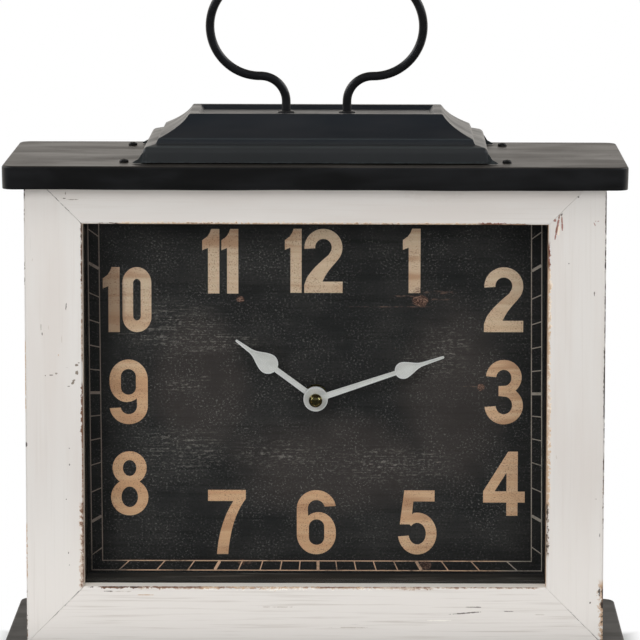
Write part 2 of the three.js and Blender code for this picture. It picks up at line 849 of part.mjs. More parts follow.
function addHands() {
  add('hour_hand', hand(hourHand, tubeRadius + runningGap + handBevel, hourHandBack), handPaint());
  add('minute_hand', hand(minuteHand, arborRadius + runningGap + handBevel, minuteHandBack), handPaint());
  const bore = arborWaistRadius + runningGap;
  const ballY = minuteHandFront - capReach;
  const profile = [
    [0, threadFront - runningGap],
    [bore, threadFront - runningGap],
    [bore, minuteHandFront - handLift / 2 - runningGap],
    [capNeckRadius, minuteHandFront - handLift / 2 - runningGap],
    [capNeckRadius, ballY + Math.sqrt(capRadius ** 2 - capNeckRadius ** 2)],
  ];
  const from = Math.asin(capNeckRadius / capRadius);
  for (let i = 1; i <= roundSides / 3; i += 1) {
    const angle = from + (Math.PI - from) * i * 3 / roundSides;
    profile.push([Math.max(capRadius * Math.sin(angle), 0), ballY + capRadius * Math.cos(angle)]);
  }
  profile[profile.length - 1][0] = 0;
  add('cap_nut', turned(profile, roundSides).translate(0, 0, frameMiddle), brass());
}

// Gears
const placeFrom = (from, direction, distance) => ({
  x: from.x + distance * Math.cos(radians(direction)),
  z: from.z + distance * Math.sin(radians(direction)),
});

// Phase that sets a gear's gap against the driving gear's tooth
function meshPhase(direction, phase, teeth, matingTeeth) {
  const pitch = tau / matingTeeth;
  const offset = (phase - radians(direction)) / (tau / teeth);
  return radians(direction) + Math.PI - offset * pitch + pitch / 2;
}

function gearShape({ x, z }, teeth, module, phase, bore) {
  const pitchRadius = teeth * module / 2;
  const tip = pitchRadius + addendumShare * module;
  const root = pitchRadius - dedendumShare * module;
  const shape = new THREE.Shape();
  for (let i = 0; i < teeth; i += 1) {
    const corners = [[root, -toothRootShare], [tip, 0], [root, toothRootShare]];
    for (const [radius, share] of corners) {
      const angle = phase + (i + share) * tau / teeth;
      const start = i === 0 && share === -toothRootShare;
      shape[start ? 'moveTo' : 'lineTo'](x + radius * Math.cos(angle), z + radius * Math.sin(angle));
    }
  }
  if (bore) shape.holes.push(new THREE.Path().absarc(x, z, bore, 0, tau, true));
  return shape;
}

const layer = (index) => floorBack + firstLayer + index * layerPitch;
const centre = { x: 0, z: frameMiddle };
const motionDistance = (cannonTeeth + motionTeeth) * motionModule / 2;
const motionPlace = placeFrom(centre, motionDirection, motionDistance);
const knobPlace = placeFrom(motionPlace, knobDirection, (motionTeeth + knobTeeth) * motionModule / 2);
const thirdPlace = placeFrom(centre, thirdDirection, (centreTeeth + leafTeeth) * centreModule / 2);
const fourthPlace = placeFrom(thirdPlace, fourthDirection, (thirdTeeth + leafTeeth) * thirdModule / 2);
const fifthPlace = placeFrom(fourthPlace, fifthDirection, (fourthTeeth + leafTeeth) * fourthModule / 2);
const rotorPlace = placeFrom(fifthPlace, rotorDirection, (fifthTeeth + leafTeeth) * fourthModule / 2);

const gearPlate = (shape, y, thickness) => plateY(shape, y, y + thickness, smallSides);
const rodAt = ({ x, z }, radius, y0, y1, sides = smallSides) => rodY(radius, y0, y1, x, z, sides);
const pivotEnd = movementBack - runningGap;
const trainArbors = [thirdPlace, fourthPlace, fifthPlace, rotorPlace];

// Motion work: the minute arbor drives the motion wheel, which drives the hour wheel at a twelfth
function addMotionWork() {
  const wheelY = layer(1);
  const pinionBack = wheelY + pinionThickness;
  const cannonBack = layer(2) - runningGap;
  const cannon = gearShape(centre, cannonTeeth, motionModule, 0);
  add('minute_arbor', join([
    rodY(arborRadius, minuteHandFront - handLift / 2, wheelY - shoulderGap),
    rodY(arborWaistRadius, threadFront, layer(3)),
    rodY(arborPivotRadius, layer(3) - overlap, pivotEnd),
    gearPlate(cannon, wheelY - shoulderGap - overlap, cannonBack - wheelY + shoulderGap + overlap),
  ]), steel());

  const motionPhase = meshPhase(motionDirection, 0, cannonTeeth, motionTeeth);
  const bore = postRadius + runningGap;
  add('motion_wheel', join([
    gearPlate(gearShape(motionPlace, motionTeeth, motionModule, motionPhase, bore), wheelY, wheelThickness),
    gearPlate(
      gearShape(motionPlace, motionPinionTeeth, hourModule, 0, bore), floorBack + runningGap * 2,
      wheelY - floorBack,
    ),
  ]), whitePlastic());

  const hourPhase = meshPhase(motionDirection + 180, 0, motionPinionTeeth, hourTeeth);
  const tubeBore = arborRadius + tubeGap;
  const hourWheel = gearShape(centre, hourTeeth, hourModule, hourPhase, tubeBore);
  const tube = cut(rodY(tubeRadius, tubeFront, layer(0) + wheelThickness), [
    rodY(tubeBore, tubeFront - overrun, layer(0) + wheelThickness + overrun),
  ]);
  add('hour_wheel', join([gearPlate(hourWheel, layer(0), wheelThickness), tube]), whitePlastic());

  const knobPhase = meshPhase(knobDirection, motionPhase, motionTeeth, knobTeeth);
  const knobFront = movementBack + knobLift;
  const grip = new THREE.Shape();
  for (let i = 0; i < knobRidges * 2; i += 1) {
    const radius = knobRadius - (i % 2) * knobRidge;
    const angle = i * Math.PI / knobRidges;
    grip[i ? 'lineTo' : 'moveTo'](
      knobPlace.x + radius * Math.cos(angle), knobPlace.z + radius * Math.sin(angle),
    );
  }
  add('setting_knob', join([
    gearPlate(
      gearShape(knobPlace, knobTeeth, motionModule, knobPhase), wheelY - pinionOverlap, pinionBack - wheelY,
    ),
    rodAt(knobPlace, knobArborRadius, floorBack + runningGap, knobFront + overlap),
    plateY(grip, knobFront, knobFront + knobHeight),
  ]), whitePlastic());
}

// Going train: the rotor turns the fifth, fourth, third and centre wheels; the centre wheel grips
// the minute arbor with a clutch, so the hands can be set without turning the train.
function trainWheel({ place, wheel, leaf, parts = [] }) {
  const pieces = [rodAt(place, wheelArborRadius, floorBack - pivotDepth, pivotEnd), ...parts];
  if (wheel) {
    const teeth = gearShape(place, wheel.teeth, wheel.module, 0);
    pieces.push(gearPlate(teeth, layer(wheel.layer), wheelThickness));
  }
  const phase = meshPhase(leaf.direction, 0, leaf.driverTeeth, leafTeeth);
  const leaves = gearShape(place, leafTeeth, leaf.module, phase);
  pieces.push(gearPlate(leaves, layer(leaf.layer) - pinionOverlap, pinionThickness));
  return join(pieces);
}

function addGoingTrain() {
  const centreBore = arborWaistRadius + runningGap;
  add('centre_wheel', gearPlate(
    gearShape(centre, centreTeeth, centreModule, 0, centreBore), layer(2), wheelThickness,
  ), brass());
  add('third_wheel', trainWheel({
    place: thirdPlace,
    wheel: { teeth: thirdTeeth, module: thirdModule, layer: 3 },
    leaf: { direction: thirdDirection, driverTeeth: centreTeeth, module: centreModule, layer: 2 },
  }), whitePlastic());
  add('fourth_wheel', trainWheel({
    place: fourthPlace,
    wheel: { teeth: fourthTeeth, module: fourthModule, layer: 4 },
    leaf: { direction: fourthDirection, driverTeeth: thirdTeeth, module: thirdModule, layer: 3 },
  }), whitePlastic());
  add('fifth_wheel', trainWheel({
    place: fifthPlace,
    wheel: { teeth: fifthTeeth, module: fourthModule, layer: 5 },
    leaf: { direction: fifthDirection, driverTeeth: fourthTeeth, module: fourthModule, layer: 4 },
  }), whitePlastic());
  add('motor_rotor', trainWheel({
    place: rotorPlace,
    leaf: { direction: rotorDirection, driverTeeth: fifthTeeth, module: fourthModule, layer: 5 },
    parts: [rodAt(rotorPlace, magnetRadius, layer(2), layer(2) + magnetLength, roundSides)],
  }), steel());
}

// Stepping motor: a stator plate round the rotor with a core bar above, and the coil on the core
function addMotor() {
  const plateFront = layer(2) + (magnetLength - statorThickness) / 2;
  const { x, z } = rotorPlace;
  const hole = magnetRadius + statorGap;
  const ring = hole + statorRing;
  const coilZ = frameMiddle + movementSize / 2 - movementWall - coilTopGap - coilFlangeRadius;
  const coreTop = coilZ + coreWidth / 2;
  const coreRight = x + ring;
  const coreLeft = coreRight - coilLength - 2 * statorLegWidth;
  const barBottom = z - statorBarWidth / 2;
  const flat = (x0, x1, z0, z1) => block(x0, x1, plateFront, plateFront + statorThickness, z0, z1);
  const outline = join([
    rodAt(rotorPlace, ring, plateFront, plateFront + statorThickness, roundSides),
    flat(coreLeft, coreLeft + statorLegWidth, barBottom, coreTop),
    flat(coreLeft, x, barBottom, barBottom + statorBarWidth),
    flat(coreRight - statorLegWidth, coreRight, z, coreTop),
    flat(coreLeft, coreRight, coreTop - coreWidth, coreTop),
  ]);
  const holeEnds = [plateFront - overrun, plateFront + statorThickness + overrun];
  const rotorHole = rodAt(rotorPlace, hole, ...holeEnds, roundSides);
  add('motor_stator', cut(outline, [rotorHole]), steel());

  const coilMiddle = (coreLeft + coreRight) / 2;
  const half = coilLength / 2 - seatGap;
  const bore = Math.hypot(coreWidth, statorThickness) / 2 + runningGap;
  const coil = turned([
    [bore, -half],
    [coilFlangeRadius, -half],
    [coilFlangeRadius, -half + coilFlange],
    [coilRadius, -half + coilFlange],
    [coilRadius, half - coilFlange],
    [coilFlangeRadius, half - coilFlange],
    [coilFlangeRadius, half],
    [bore, half],
    [bore, -half],
  ], roundSides).rotateZ(Math.PI / 2);
  coil.translate(coilMiddle, plateFront + statorThickness / 2, coilZ);
  add('motor_coil', coil, copperWire());
}

function circuitPlace() {
  const left = -movementSize / 2 + movementWall + seatGap;
  const top = frameMiddle + movementSize / 2 - movementWall - seatGap;
  const front = floorBack + circuitPost + seatGap / 2;
  return { left, top, front };
}

function addCircuit() {
  const { left, top, front } = circuitPlace();
  const middleX = left + boardWidth / 2;
  const middleZ = top - boardHeight / 2;
  add('circuit_board', join([
    block(left, left + boardWidth, front, front + circuitThickness, top - boardHeight, top),
    rodAt(
      { x: middleX, z: middleZ }, chipRadius,
      front + circuitThickness / 2, front + circuitThickness + chipHeight,
    ),
  ]), circuitBoard());
}

// Movement case: a tray open to the back, with the threaded bush in front and a bay for the cell
function addMovementCase() {
  const half = movementSize / 2;
  const inner = half - movementWall;
  const back = movementBack + overrun;
  const { left, top } = circuitPlace();
  const outer = block(
    -half, half, movementFront, movementBack, frameMiddle - half, frameMiddle + half,
  );
  const shell = cut(outer, [
    block(-inner, inner, floorBack, back, gearFloor, frameMiddle + inner),
    block(-inner, inner, floorBack, back, frameMiddle - inner, bayTop),
  ]);
  const posts = [circuitPostInset, boardWidth - circuitPostInset].flatMap(
    (across) => [circuitPostInset, boardHeight - circuitPostInset].map((down) => rodAt(
      { x: left + across, z: top - down }, circuitPostRadius, floorBack - overlap, floorBack + circuitPost,
      wireSides,
    )),
  );
  const whole = join([
    shell,
    rodY(bushRadius, bushFront, movementFront + overlap),
    rodAt(motionPlace, postRadius, floorBack - overlap, layer(1) + wheelThickness),
    ...posts,
  ]);
  const pivots = trainArbors.map((place) => rodAt(
    place, wheelArborRadius + runningGap, floorBack - pivotDepth - runningGap, floorBack + overrun,
  ));
  const bore = rodY(tubeRadius + runningGap, bushFront - overrun, floorBack + overrun);
  add('movement_case', cut(whole, [bore, ...pivots]), blackPlastic());
}

function addMovementCover() {
  const inner = movementSize / 2 - movementWall - seatGap;
  const z0 = gearFloor + seatGap;
  const z1 = frameMiddle + inner;
  const plate = rectangle(THREE.Shape, inner, z0, z1, movementWall);
  const holes = [
    { x: 0, z: frameMiddle, radius: arborPivotRadius },
    { ...knobPlace, radius: knobArborRadius },
    ...trainArbors.map((place) => ({ ...place, radius: wheelArborRadius })),
  ];
  for (const { x, z, radius } of holes) {
    plate.holes.push(new THREE.Path().absarc(x, z, radius + runningGap, 0, tau, true));
  }
  add('movement_cover', plateY(plate, coverFront, movementBack, smallSides), blackPlastic());
}

function addBushFastening() {
  const washerBack = dialFront - seatGap / 2;
  const nutBack = washerBack - bushWasherThickness - seatGap / 2;
  const bore = bushRadius + runningGap;
  const washer = new THREE.Shape().absarc(0, frameMiddle, bushWasherRadius, 0, tau, false);
  washer.holes.push(new THREE.Path().absarc(0, frameMiddle, bore, 0, tau, true));
  add('bush_washer', plateY(washer, washerBack - bushWasherThickness, washerBack, smallSides), brass());
  const nut = hexagon(bushNutRadius, frameMiddle, bore);
  add('bush_nut', plateY(nut, nutBack - bushNutHeight, nutBack, smallSides), brass());
}

// Cell and its contacts, in the bay under the gears
class SpringLine extends THREE.Curve {
  getPoint(t) {
    const angle = t * springTurns * tau;
    const radius = springRadius + (springTopRadius - springRadius) * t;
    const reach = batterySlack - 2 * springWire;
    return new THREE.Vector3(reach * t, radius * Math.cos(angle), radius * Math.sin(angle));
  }
}

const bayHalf = movementSize / 2 - movementWall;
const contactRight = bayHalf - seatGap / 2;
const batteryRight = contactRight - contactThickness - seatGap / 2;
const batterySlack = batteryRight - batteryLength - batteryNubLength + bayHalf - seatGap;

function addCell() {
  const middleY = floorBack + batteryRadius + seatGap;
  const middleZ = bayTop - bayHeight / 2;
  const bodyEnd = batteryRight - batteryNubLength;
  const edge = batteryEdge;
  const cell = turned([
    [0, bodyEnd - batteryLength],
    [batteryRadius - edge, bodyEnd - batteryLength],
    [batteryRadius, bodyEnd - batteryLength + edge],
    [batteryRadius, bodyEnd - edge],
    [batteryRadius - edge, bodyEnd],
    [batteryNubRadius, bodyEnd],
    [batteryNubRadius, batteryRight],
    [0, batteryRight],
  ], roundSides).rotateZ(-Math.PI / 2).translate(0, middleY, middleZ);
  add('battery', cell, batteryWrap());
  const halfContact = contactSize / 2;
  add('battery_contact', block(
    contactRight - contactThickness, contactRight,
    middleY - halfContact, middleY + halfContact, middleZ - halfContact, middleZ + halfContact,
  ), steel());
  const wire = new THREE.ExtrudeGeometry(new THREE.Shape().absarc(0, 0, springWire, 0, tau, false), {
    steps: Math.round(springTurns * springStepsPerTurn),
    extrudePath: new SpringLine(),
    curveSegments: springSides,
  });
  wire.translate(-bayHalf + seatGap / 2 + springWire, middleY, middleZ);
  add('battery_spring', facingOut(wire), steel());
}

addRails();
addCaseBoards();
addBattens();
addGlass();
addDial();
addBackPanel();
addRoofTray();
addPlinth();
addHandle();
addBaseTray();
addFootPads();
addScrews();
addMovementCase();
addMovementCover();
addBushFastening();
addMotionWork();
addGoingTrain();
addMotor();
addCircuit();
addCell();
addHands();

export default clock;
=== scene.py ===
# Table clock: a worn white wooden case between a pressed metal roof and base, with a wire handle,
# a printed dial behind glass and a battery movement. Sizes in the dictionaries are millimetres.
import math
from functools import reduce
from itertools import product
import bmesh
import bpy
from mathutils import Matrix, Vector


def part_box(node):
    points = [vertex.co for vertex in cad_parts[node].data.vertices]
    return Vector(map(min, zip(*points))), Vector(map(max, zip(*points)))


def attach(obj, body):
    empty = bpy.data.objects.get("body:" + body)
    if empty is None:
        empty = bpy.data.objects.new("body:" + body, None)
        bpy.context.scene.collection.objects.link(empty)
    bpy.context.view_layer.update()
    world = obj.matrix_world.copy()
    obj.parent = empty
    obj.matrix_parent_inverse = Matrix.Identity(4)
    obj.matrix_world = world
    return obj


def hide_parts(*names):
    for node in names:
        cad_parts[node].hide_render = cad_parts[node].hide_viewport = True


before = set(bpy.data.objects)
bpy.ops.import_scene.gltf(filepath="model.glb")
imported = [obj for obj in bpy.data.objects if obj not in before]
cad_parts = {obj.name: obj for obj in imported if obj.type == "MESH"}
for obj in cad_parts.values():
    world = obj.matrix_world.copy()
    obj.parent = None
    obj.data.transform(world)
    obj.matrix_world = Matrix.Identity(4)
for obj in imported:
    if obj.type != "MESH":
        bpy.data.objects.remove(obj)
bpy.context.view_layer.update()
mm = 0.001
scene = bpy.context.scene


def say(stage):
    print("table clock:", stage)


def at(x, y, z):
    return Vector((x, y, z)) * mm


def tone(code):
    # a hex colour as it looks on screen, turned into the linear values that the shaders take
    parts = [int(code[i:i + 2], 16) / 255 for i in (0, 2, 4)]
    linear = [c / 12.92 if c <= 0.04045 else ((c + 0.055) / 1.055) ** 2.4 for c in parts]
    return (*linear, 1)


def added(name, data):
    holder = bpy.data.objects.new(name, data)
    scene.collection.objects.link(holder)
    return holder


# Camera and studio
shot = {
    "place": (29.06, -2281.3, 521.7), "pitchDown": 0.12736, "roll": 0.0026,  # angles in radians
    "lens": 241.4, "sensor": 36, "shift": (-0.0792, -0.12), "clip": (0.05, 50),  # clip in metres
}


def makeCamera():
    cam = bpy.data.cameras.new("shotCamera")
    cam.lens, cam.sensor_width = shot["lens"], shot["sensor"]
    cam.shift_x, cam.shift_y = shot["shift"]
    cam.clip_start, cam.clip_end = shot["clip"]
    scene.camera = added("shotCamera", cam)
    scene.camera.matrix_world = (
        Matrix.Translation(at(*shot["place"]))
        @ Matrix.Rotation(math.pi / 2 - shot["pitchDown"], 4, "X")
        @ Matrix.Rotation(shot["roll"], 4, "Z")
    )


class Flow:
    # one value on its way through a node tree, so that masks read as plain sums
    def __init__(self, finish, link):
        self.finish, self.link = finish, link

    def sum(self, operation, *values):
        return self.finish.node("ShaderNodeMath", {"operation": operation}, dict(enumerate(values)))

    def __add__(self, other):
        return self.sum("ADD", self, other)

    __radd__ = __add__

    def __sub__(self, other):
        return self.sum("SUBTRACT", self, other)

    def __rsub__(self, other):
        return self.sum("SUBTRACT", other, self)

    def __mul__(self, other):
        return self.sum("MULTIPLY", self, other)

    __rmul__ = __mul__

    def __truediv__(self, other):
        return self.sum("DIVIDE", self, other)

    def __rtruediv__(self, other):
        return self.sum("DIVIDE", other, self)

    def __abs__(self):
        return self.sum("ABSOLUTE", self)

    def least(self, other):
        return self.sum("MINIMUM", self, other)

    def most(self, other):
        return self.sum("MAXIMUM", self, other)

    def wave(self):
        return self.sum("SINE", self)

    def fade(self, start, end, low=0.0, high=1.0):
        # goes smoothly from low at start to high at end
        return self.finish.node(
            "ShaderNodeMapRange", {"interpolation_type": "SMOOTHSTEP"},
            {"Value": self, "From Min": start, "From Max": end, "To Min": low, "To Max": high},
        )

    def between(self, start, full, over, end):
        # rises from start to full and falls again from over to end
        return self.fade(start, full) * self.fade(over, end, 1, 0)


class Finish:
    # a procedural material in the making; shades are the colours that its coats name
    def __init__(self, name, shades=None, tree=None, coordinate="Object"):
        if tree is None:
            self.material = bpy.data.materials.new(name)
            self.material.use_nodes = True
            tree = self.material.node_tree
        self.nodes, self.links, self.shades = tree.nodes, tree.links, shades
        self.nodes.clear()
        self.place = self.node("ShaderNodeTexCoord", output=coordinate)

    def node(self, kind, settings=None, values=None, output=0):
        made = self.nodes.new(kind)
        for name, value in (settings or {}).items():
            setattr(made, name, value)
        for name, value in (values or {}).items():
            if isinstance(value, Flow):
                self.links.new(value.link, made.inputs[name])
            else:
                made.inputs[name].default_value = value
        if isinstance(output, tuple):
            return [Flow(self, made.outputs[each]) for each in output]
        return Flow(self, made.outputs[output]) if len(made.outputs) else None

    def split(self, vector):
        return self.node("ShaderNodeSeparateXYZ", None, {0: vector}, (0, 1, 2))

    def moved(self, operation, by):
        return self.node("ShaderNodeVectorMath", {"operation": operation}, {0: self.place, 1: by})

    def noise(self, size, detail, roughness, distortion=0.0):
        # size is grains to a metre, or one count for each direction
        even = not isinstance(size, tuple)
        return self.node("ShaderNodeTexNoise", None, {
            "Vector": self.place if even else self.moved("MULTIPLY", size), "Scale": size if even else 1.0,
            "Detail": detail, "Roughness": roughness, "Distortion": distortion,
        })

    def patterns(self, rows, turn=1):
        # one noise for each row; a turn of -1 swaps the directions X and Z
        return [self.noise(size[::turn] if isinstance(size, tuple) else size, *rest)
                for size, *rest in rows.values()]

    def near(self, across, up, x, z, wide, high):
        # 1 at a spot on the face, falling to 0 at its reach in each direction; millimetres
        side, rise = (across - x * mm) / (wide * mm), (up - z * mm) / (high * mm)
        return (1 - (side * side + rise * rise)).most(0.0)

    def mix(self, factor, *ends):
        first, second = [tone(self.shades[end]) if isinstance(end, str) else end for end in ends]
        return self.node("ShaderNodeMix", {"data_type": "RGBA"}, {0: factor, 6: first, 7: second}, output=2)

    def ground(self, factor, first, second):
        self.colour = self.mix(factor, first, second)

    def coat(self, mask, shade):
        # covers the colour so far
        self.colour = self.mix(mask, self.colour, shade)

    def close(self, shader):
        self.node("ShaderNodeOutputMaterial", None, {"Surface": shader})
        return self.material

    def surface(self, rough, *bumps, specular=0.5, metal=0.0):
        # bumps are (height, strength, distance in metres), the broadest first
        normal = {}
        for height, strength, distance in bumps:
            normal = {"Normal": self.node("ShaderNodeBump", None, {
                "Height": height, "Strength": strength, "Distance": distance, **normal})}
        return self.close(self.node("ShaderNodeBsdfPrincipled", None, {
            "Base Color": self.colour, "Roughness": rough, "Metallic": metal,
            "Specular IOR Level": specular, **normal}))


studio = {
    "ambient": 0.45,  # what the room gives to matt surfaces
    # the room as reflections show it: dark in front, white behind, with a pale band above the camera
    "frontGloss": 0.05, "aboveGloss": 0.06, "behindFrom": (-0.2, 0.55), "aboveFrom": (0.22, 0.7),
    "band": {"up": (0.2, 0.42, 0.6, 0.85), "along": (0.1, 0.4), "level": 0.14},
    # two windows at the sides, seen only in reflections
    "windows": {"across": (0.55, 0.63, 0.9, 0.97), "along": (-0.4, -0.3, 0.5, 0.6),
                "up": (0.22, 0.32, 0.66, 0.76), "level": 2.5},
    "warm": "FFF9F1", "cool": "DFE8F6",
    "aim": (0, 0, 150),
    "lamps": {  # place, width, watts
        "keyLamp": ((-930, -2000, 980), 900, 18.4),
        "fillLamp": ((1000, -2000, 240), 1100, 9.7),
        "topLamp": ((0, -760, 1750), 1200, 7.5),
    },
    # the floor's shadow fades out this far from the edge of the clock, and further in front
    "floor": {"tone": "E9E9E7", "size": 9000, "edge": (165, 65), "fadeOver": 18, "frontShare": 0.35},
}


def makeRoom():
    scene.world = bpy.data.worlds.new("studioRoom")
    scene.world.use_nodes = True
    room = Finish("studioRoom", studio, scene.world.node_tree, "Generated")
    across, along, up = room.split(room.place)
    back = along.fade(*studio["behindFrom"], studio["frontGloss"], 1.0)
    high = up.fade(*studio["aboveFrom"])
    windows, band = studio["windows"], studio["band"]
    window = (abs(across).between(*windows["across"]) * along.between(*windows["along"])
              * up.between(*windows["up"]))
    stripe = up.between(*band["up"]) * along.fade(*band["along"], band["level"], 0)
    bright = window * windows["level"] + stripe
    seen, glossy, through = room.node("ShaderNodeLightPath", output=(
        "Is Camera Ray", "Is Glossy Ray", "Is Transmission Ray"))
    direct = seen.most(through)
    gloss = glossy * (1 - direct)
    level = (direct + gloss * (back * (1 - high) + high * studio["aboveGloss"] + bright)
             + (1 - direct) * (1 - glossy) * studio["ambient"])
    tint = room.mix(gloss, (1, 1, 1, 1), room.mix(back, "cool", "warm"))
    light = room.node("ShaderNodeBackground", None, {"Color": tint, "Strength": level})
    room.node("ShaderNodeOutputWorld", None, {"Surface": light})


def makeLamps():
    for name, (place, width, watts) in studio["lamps"].items():
        lamp = bpy.data.lights.new(name, "AREA")
        lamp.shape, lamp.size, lamp.energy = "DISK", width * mm, watts
        holder = added(name, lamp)
        holder.location = at(*place)
        holder.visible_glossy = False  # the soft room makes the sheen
        holder.rotation_mode = "QUATERNION"
        holder.rotation_quaternion = (at(*studio["aim"]) - at(*place)).to_track_quat("-Z", "Y")


def makeFloor():
    floor = studio["floor"]
    half = floor["size"] / 2
    mesh = bpy.data.meshes.new("studioFloor")
    corners = [at(x * half, y * half, 0) for x, y in ((-1, -1), (1, -1), (1, 1), (-1, 1))]
    mesh.from_pydata(corners, [], [(0, 1, 2, 3)])
    cover = Finish("floorCover")
    x, y = cover.split(cover.place)[:2]
    wide, deep = [edge * mm for edge in floor["edge"]]
    beyond = (abs(x) - wide).most(y - deep).most((0 - y - deep) * floor["frontShare"])
    seen = cover.node("ShaderNodeLightPath", output="Is Camera Ray")
    matt = cover.node("ShaderNodeBsdfDiffuse", None, {"Color": tone(floor["tone"])})
    white = cover.node("ShaderNodeEmission", None, {"Color": (1, 1, 1, 1), "Strength": 1.0})
    mesh.materials.append(cover.close(cover.node("ShaderNodeMixShader", None, {
        0: beyond.fade(0, floor["fadeOver"] * mm) * seen, 1: matt, 2: white})))
    holder = added("studioFloor", mesh)
    holder.visible_glossy = False


makeCamera()
makeRoom()
makeLamps()
makeFloor()
scene.view_settings.view_transform = "Standard"
say("camera and studio")


# Forming pieces
def piece(name, shape, finish, stands=(), body="clock_case", sharpAngle=32):
    # the shape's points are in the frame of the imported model
    points, faces = shape
    mesh = bpy.data.meshes.new(name)
    form = bmesh.new()
    made = [form.verts.new(at(*point)) for point in points]
    for face in faces:
        form.faces.new([made[i] for i in face])
    bmesh.ops.remove_doubles(form, verts=form.verts, dist=1e-7)
    bmesh.ops.recalc_face_normals(form, faces=form.faces)
    form.to_mesh(mesh)
    form.free()
    return dressed(name, mesh, finish, stands, body, sharpAngle)


def dressed(name, mesh, finish, stands, body, sharpAngle=32):
    mesh.materials.append(finish)
    mesh.polygons.foreach_set("use_smooth", [True] * len(mesh.polygons))
    mesh.set_sharp_from_angle(angle=math.radians(sharpAngle))
    holder = added(name, mesh)
    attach(holder, body)
    if stands:
        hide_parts(*stands)
    return holder


def curved(start, control, end, steps):
    return [tuple(
        a * (1 - t) ** 2 + 2 * c * t * (1 - t) + b * t * t for a, c, b in zip(start, control, end)
    ) for t in (i / steps for i in range(steps + 1))]


def softened(outline, radius, steps=3):
    # rounds every inner corner of an open outline
    points = [outline[0]]
    for before, corner, after in zip(outline, outline[1:], outline[2:]):
        ends = []
        for other in (before, after):
            run = math.dist(corner, other)
            share = min(radius, run * 0.4) / run
            ends.append([c + (o - c) * share for c, o in zip(corner, other)])
        points += curved(ends[0], corner, ends[1], steps)
    return points + [outline[-1]]


def arc(x, y, wide, high, start, end, steps=20):
    # points on an ellipse, between two angles in degrees
    turns = [math.radians(start + (end - start) * i / steps) for i in range(steps + 1)]
    return [(x + wide * math.cos(turn), y + high * math.sin(turn)) for turn in turns]


def cornered(halfX, halfY, radius, z, arcs=8, sides=24):
    # one ring with round corners, and enough points along its sides to bend them
    corners = []
    for signX, signY, start in ((1, 1, 0), (-1, 1, 90), (-1, -1, 180), (1, -1, 270)):
        x, y = signX * (halfX - radius), signY * (halfY - radius)
        corners.append([(*point, z) for point in arc(x, y, radius, radius, start, start + 90, arcs)])
    ring = []
    for corner, following in zip(corners, corners[1:] + corners[:1]):
        ring += corner
        last, first = corner[-1], following[0]
        ring += [tuple(a + (b - a) * i / sides for a, b in zip(last, first)) for i in range(1, sides)]
    return ring


def skin(rings, closed=False):
    # faces between neighbouring rings of the same count; open ends are capped
    points = [point for ring in rings for point in ring]
    count, faces = len(rings[0]), []
    for r in range(len(rings) if closed else len(rings) - 1):
        near, far = r * count, (r + 1) % len(rings) * count
        faces += [(near + i, near + (i + 1) % count, far + (i + 1) % count, far + i)
                  for i in range(count)]
    if not closed:
        faces.append(tuple(reversed(range(count))))
        faces.append(tuple(range(len(points) - count, len(points))))
    return points, faces


def turned(profile, sides, middle=(0, 0, 0), axis="Z"):
    # rings round an axis, from (radius, height) pairs
    rings = []
    for radius, height in profile:
        ring = []
        for x, y in arc(0, 0, radius, radius, 0, 360, sides)[:-1]:
            step = (x, y, height) if axis == "Z" else (x, height, y)
            ring.append(tuple(m + s for m, s in zip(middle, step)))
        rings.append(ring)
    return rings


def tube(path, radius, sides):
    # a round wire along points in the XZ plane
    rings = []
    for i, (x, z) in enumerate(path):
        before, after = path[max(i - 1, 0)], path[min(i + 1, len(path) - 1)]
        run = math.dist(before, after)
        alongX, alongZ = (after[0] - before[0]) / run, (after[1] - before[1]) / run
        rings.append([(x + alongZ * out, y, z - alongX * out)
                      for out, y in arc(0, 0, radius, radius, 0, 360, sides)[:-1]])
    return rings


def settled(holder):
    # the plain mesh of an object with its modifiers, or of a curve
    bpy.context.view_layer.update()
    return bpy.data.meshes.new_from_object(holder.evaluated_get(bpy.context.evaluated_depsgraph_get()))


def cutter(points, faces):
    mesh = bpy.data.meshes.new("cutter")
    mesh.from_pydata([at(*point) for point in points], [], faces)
    return added("cutter", mesh)


def plug(profile, middle, axis="Z"):
    # a round cutter
    return cutter(*skin(turned(profile, 32, middle, axis)))


def grooved(holder, cutters):
    # takes the cutters' shapes out of a piece
    for each in cutters:
        step = holder.modifiers.new("groove", "BOOLEAN")
        step.operation, step.solver, step.object = "DIFFERENCE", "EXACT", each
    made = settled(holder)
    holder.modifiers.clear()
    holder.data = made
    for each in cutters:
        bpy.data.objects.remove(each)


# Pressed metal
tray = {
    "sheet": 1.0, "corner": 7.0, "fold": 1.25, "foldSteps": 6, "hole": 1.5,
    # how far the roof's flange wanders inwards and down, how much of it is left plain under the fold,
    # the lengths of its waves, and how near to a corner they change
    "dent": 0.35, "droop": 0.22, "plain": 4, "waves": (23, 9.3, 7.1), "cornerReach": 14,
    "roof": {"node": "roof_tray", "halfX": 163.5, "halfY": 63.5, "top": 277.6, "drop": 12.3, "hem": 0,
             "holes": [(-100.5, -42.7), (100.5, -42.7), (-100.5, 42.7), (100.5, 42.7)]},
    "base": {"node": "base_tray", "halfX": 164.8, "halfY": 64.8, "top": 22.2, "drop": 20.0, "hem": 17.0,
             "holes": [(-110, -28), (110, -28), (-110, 41), (110, 41)]},
}


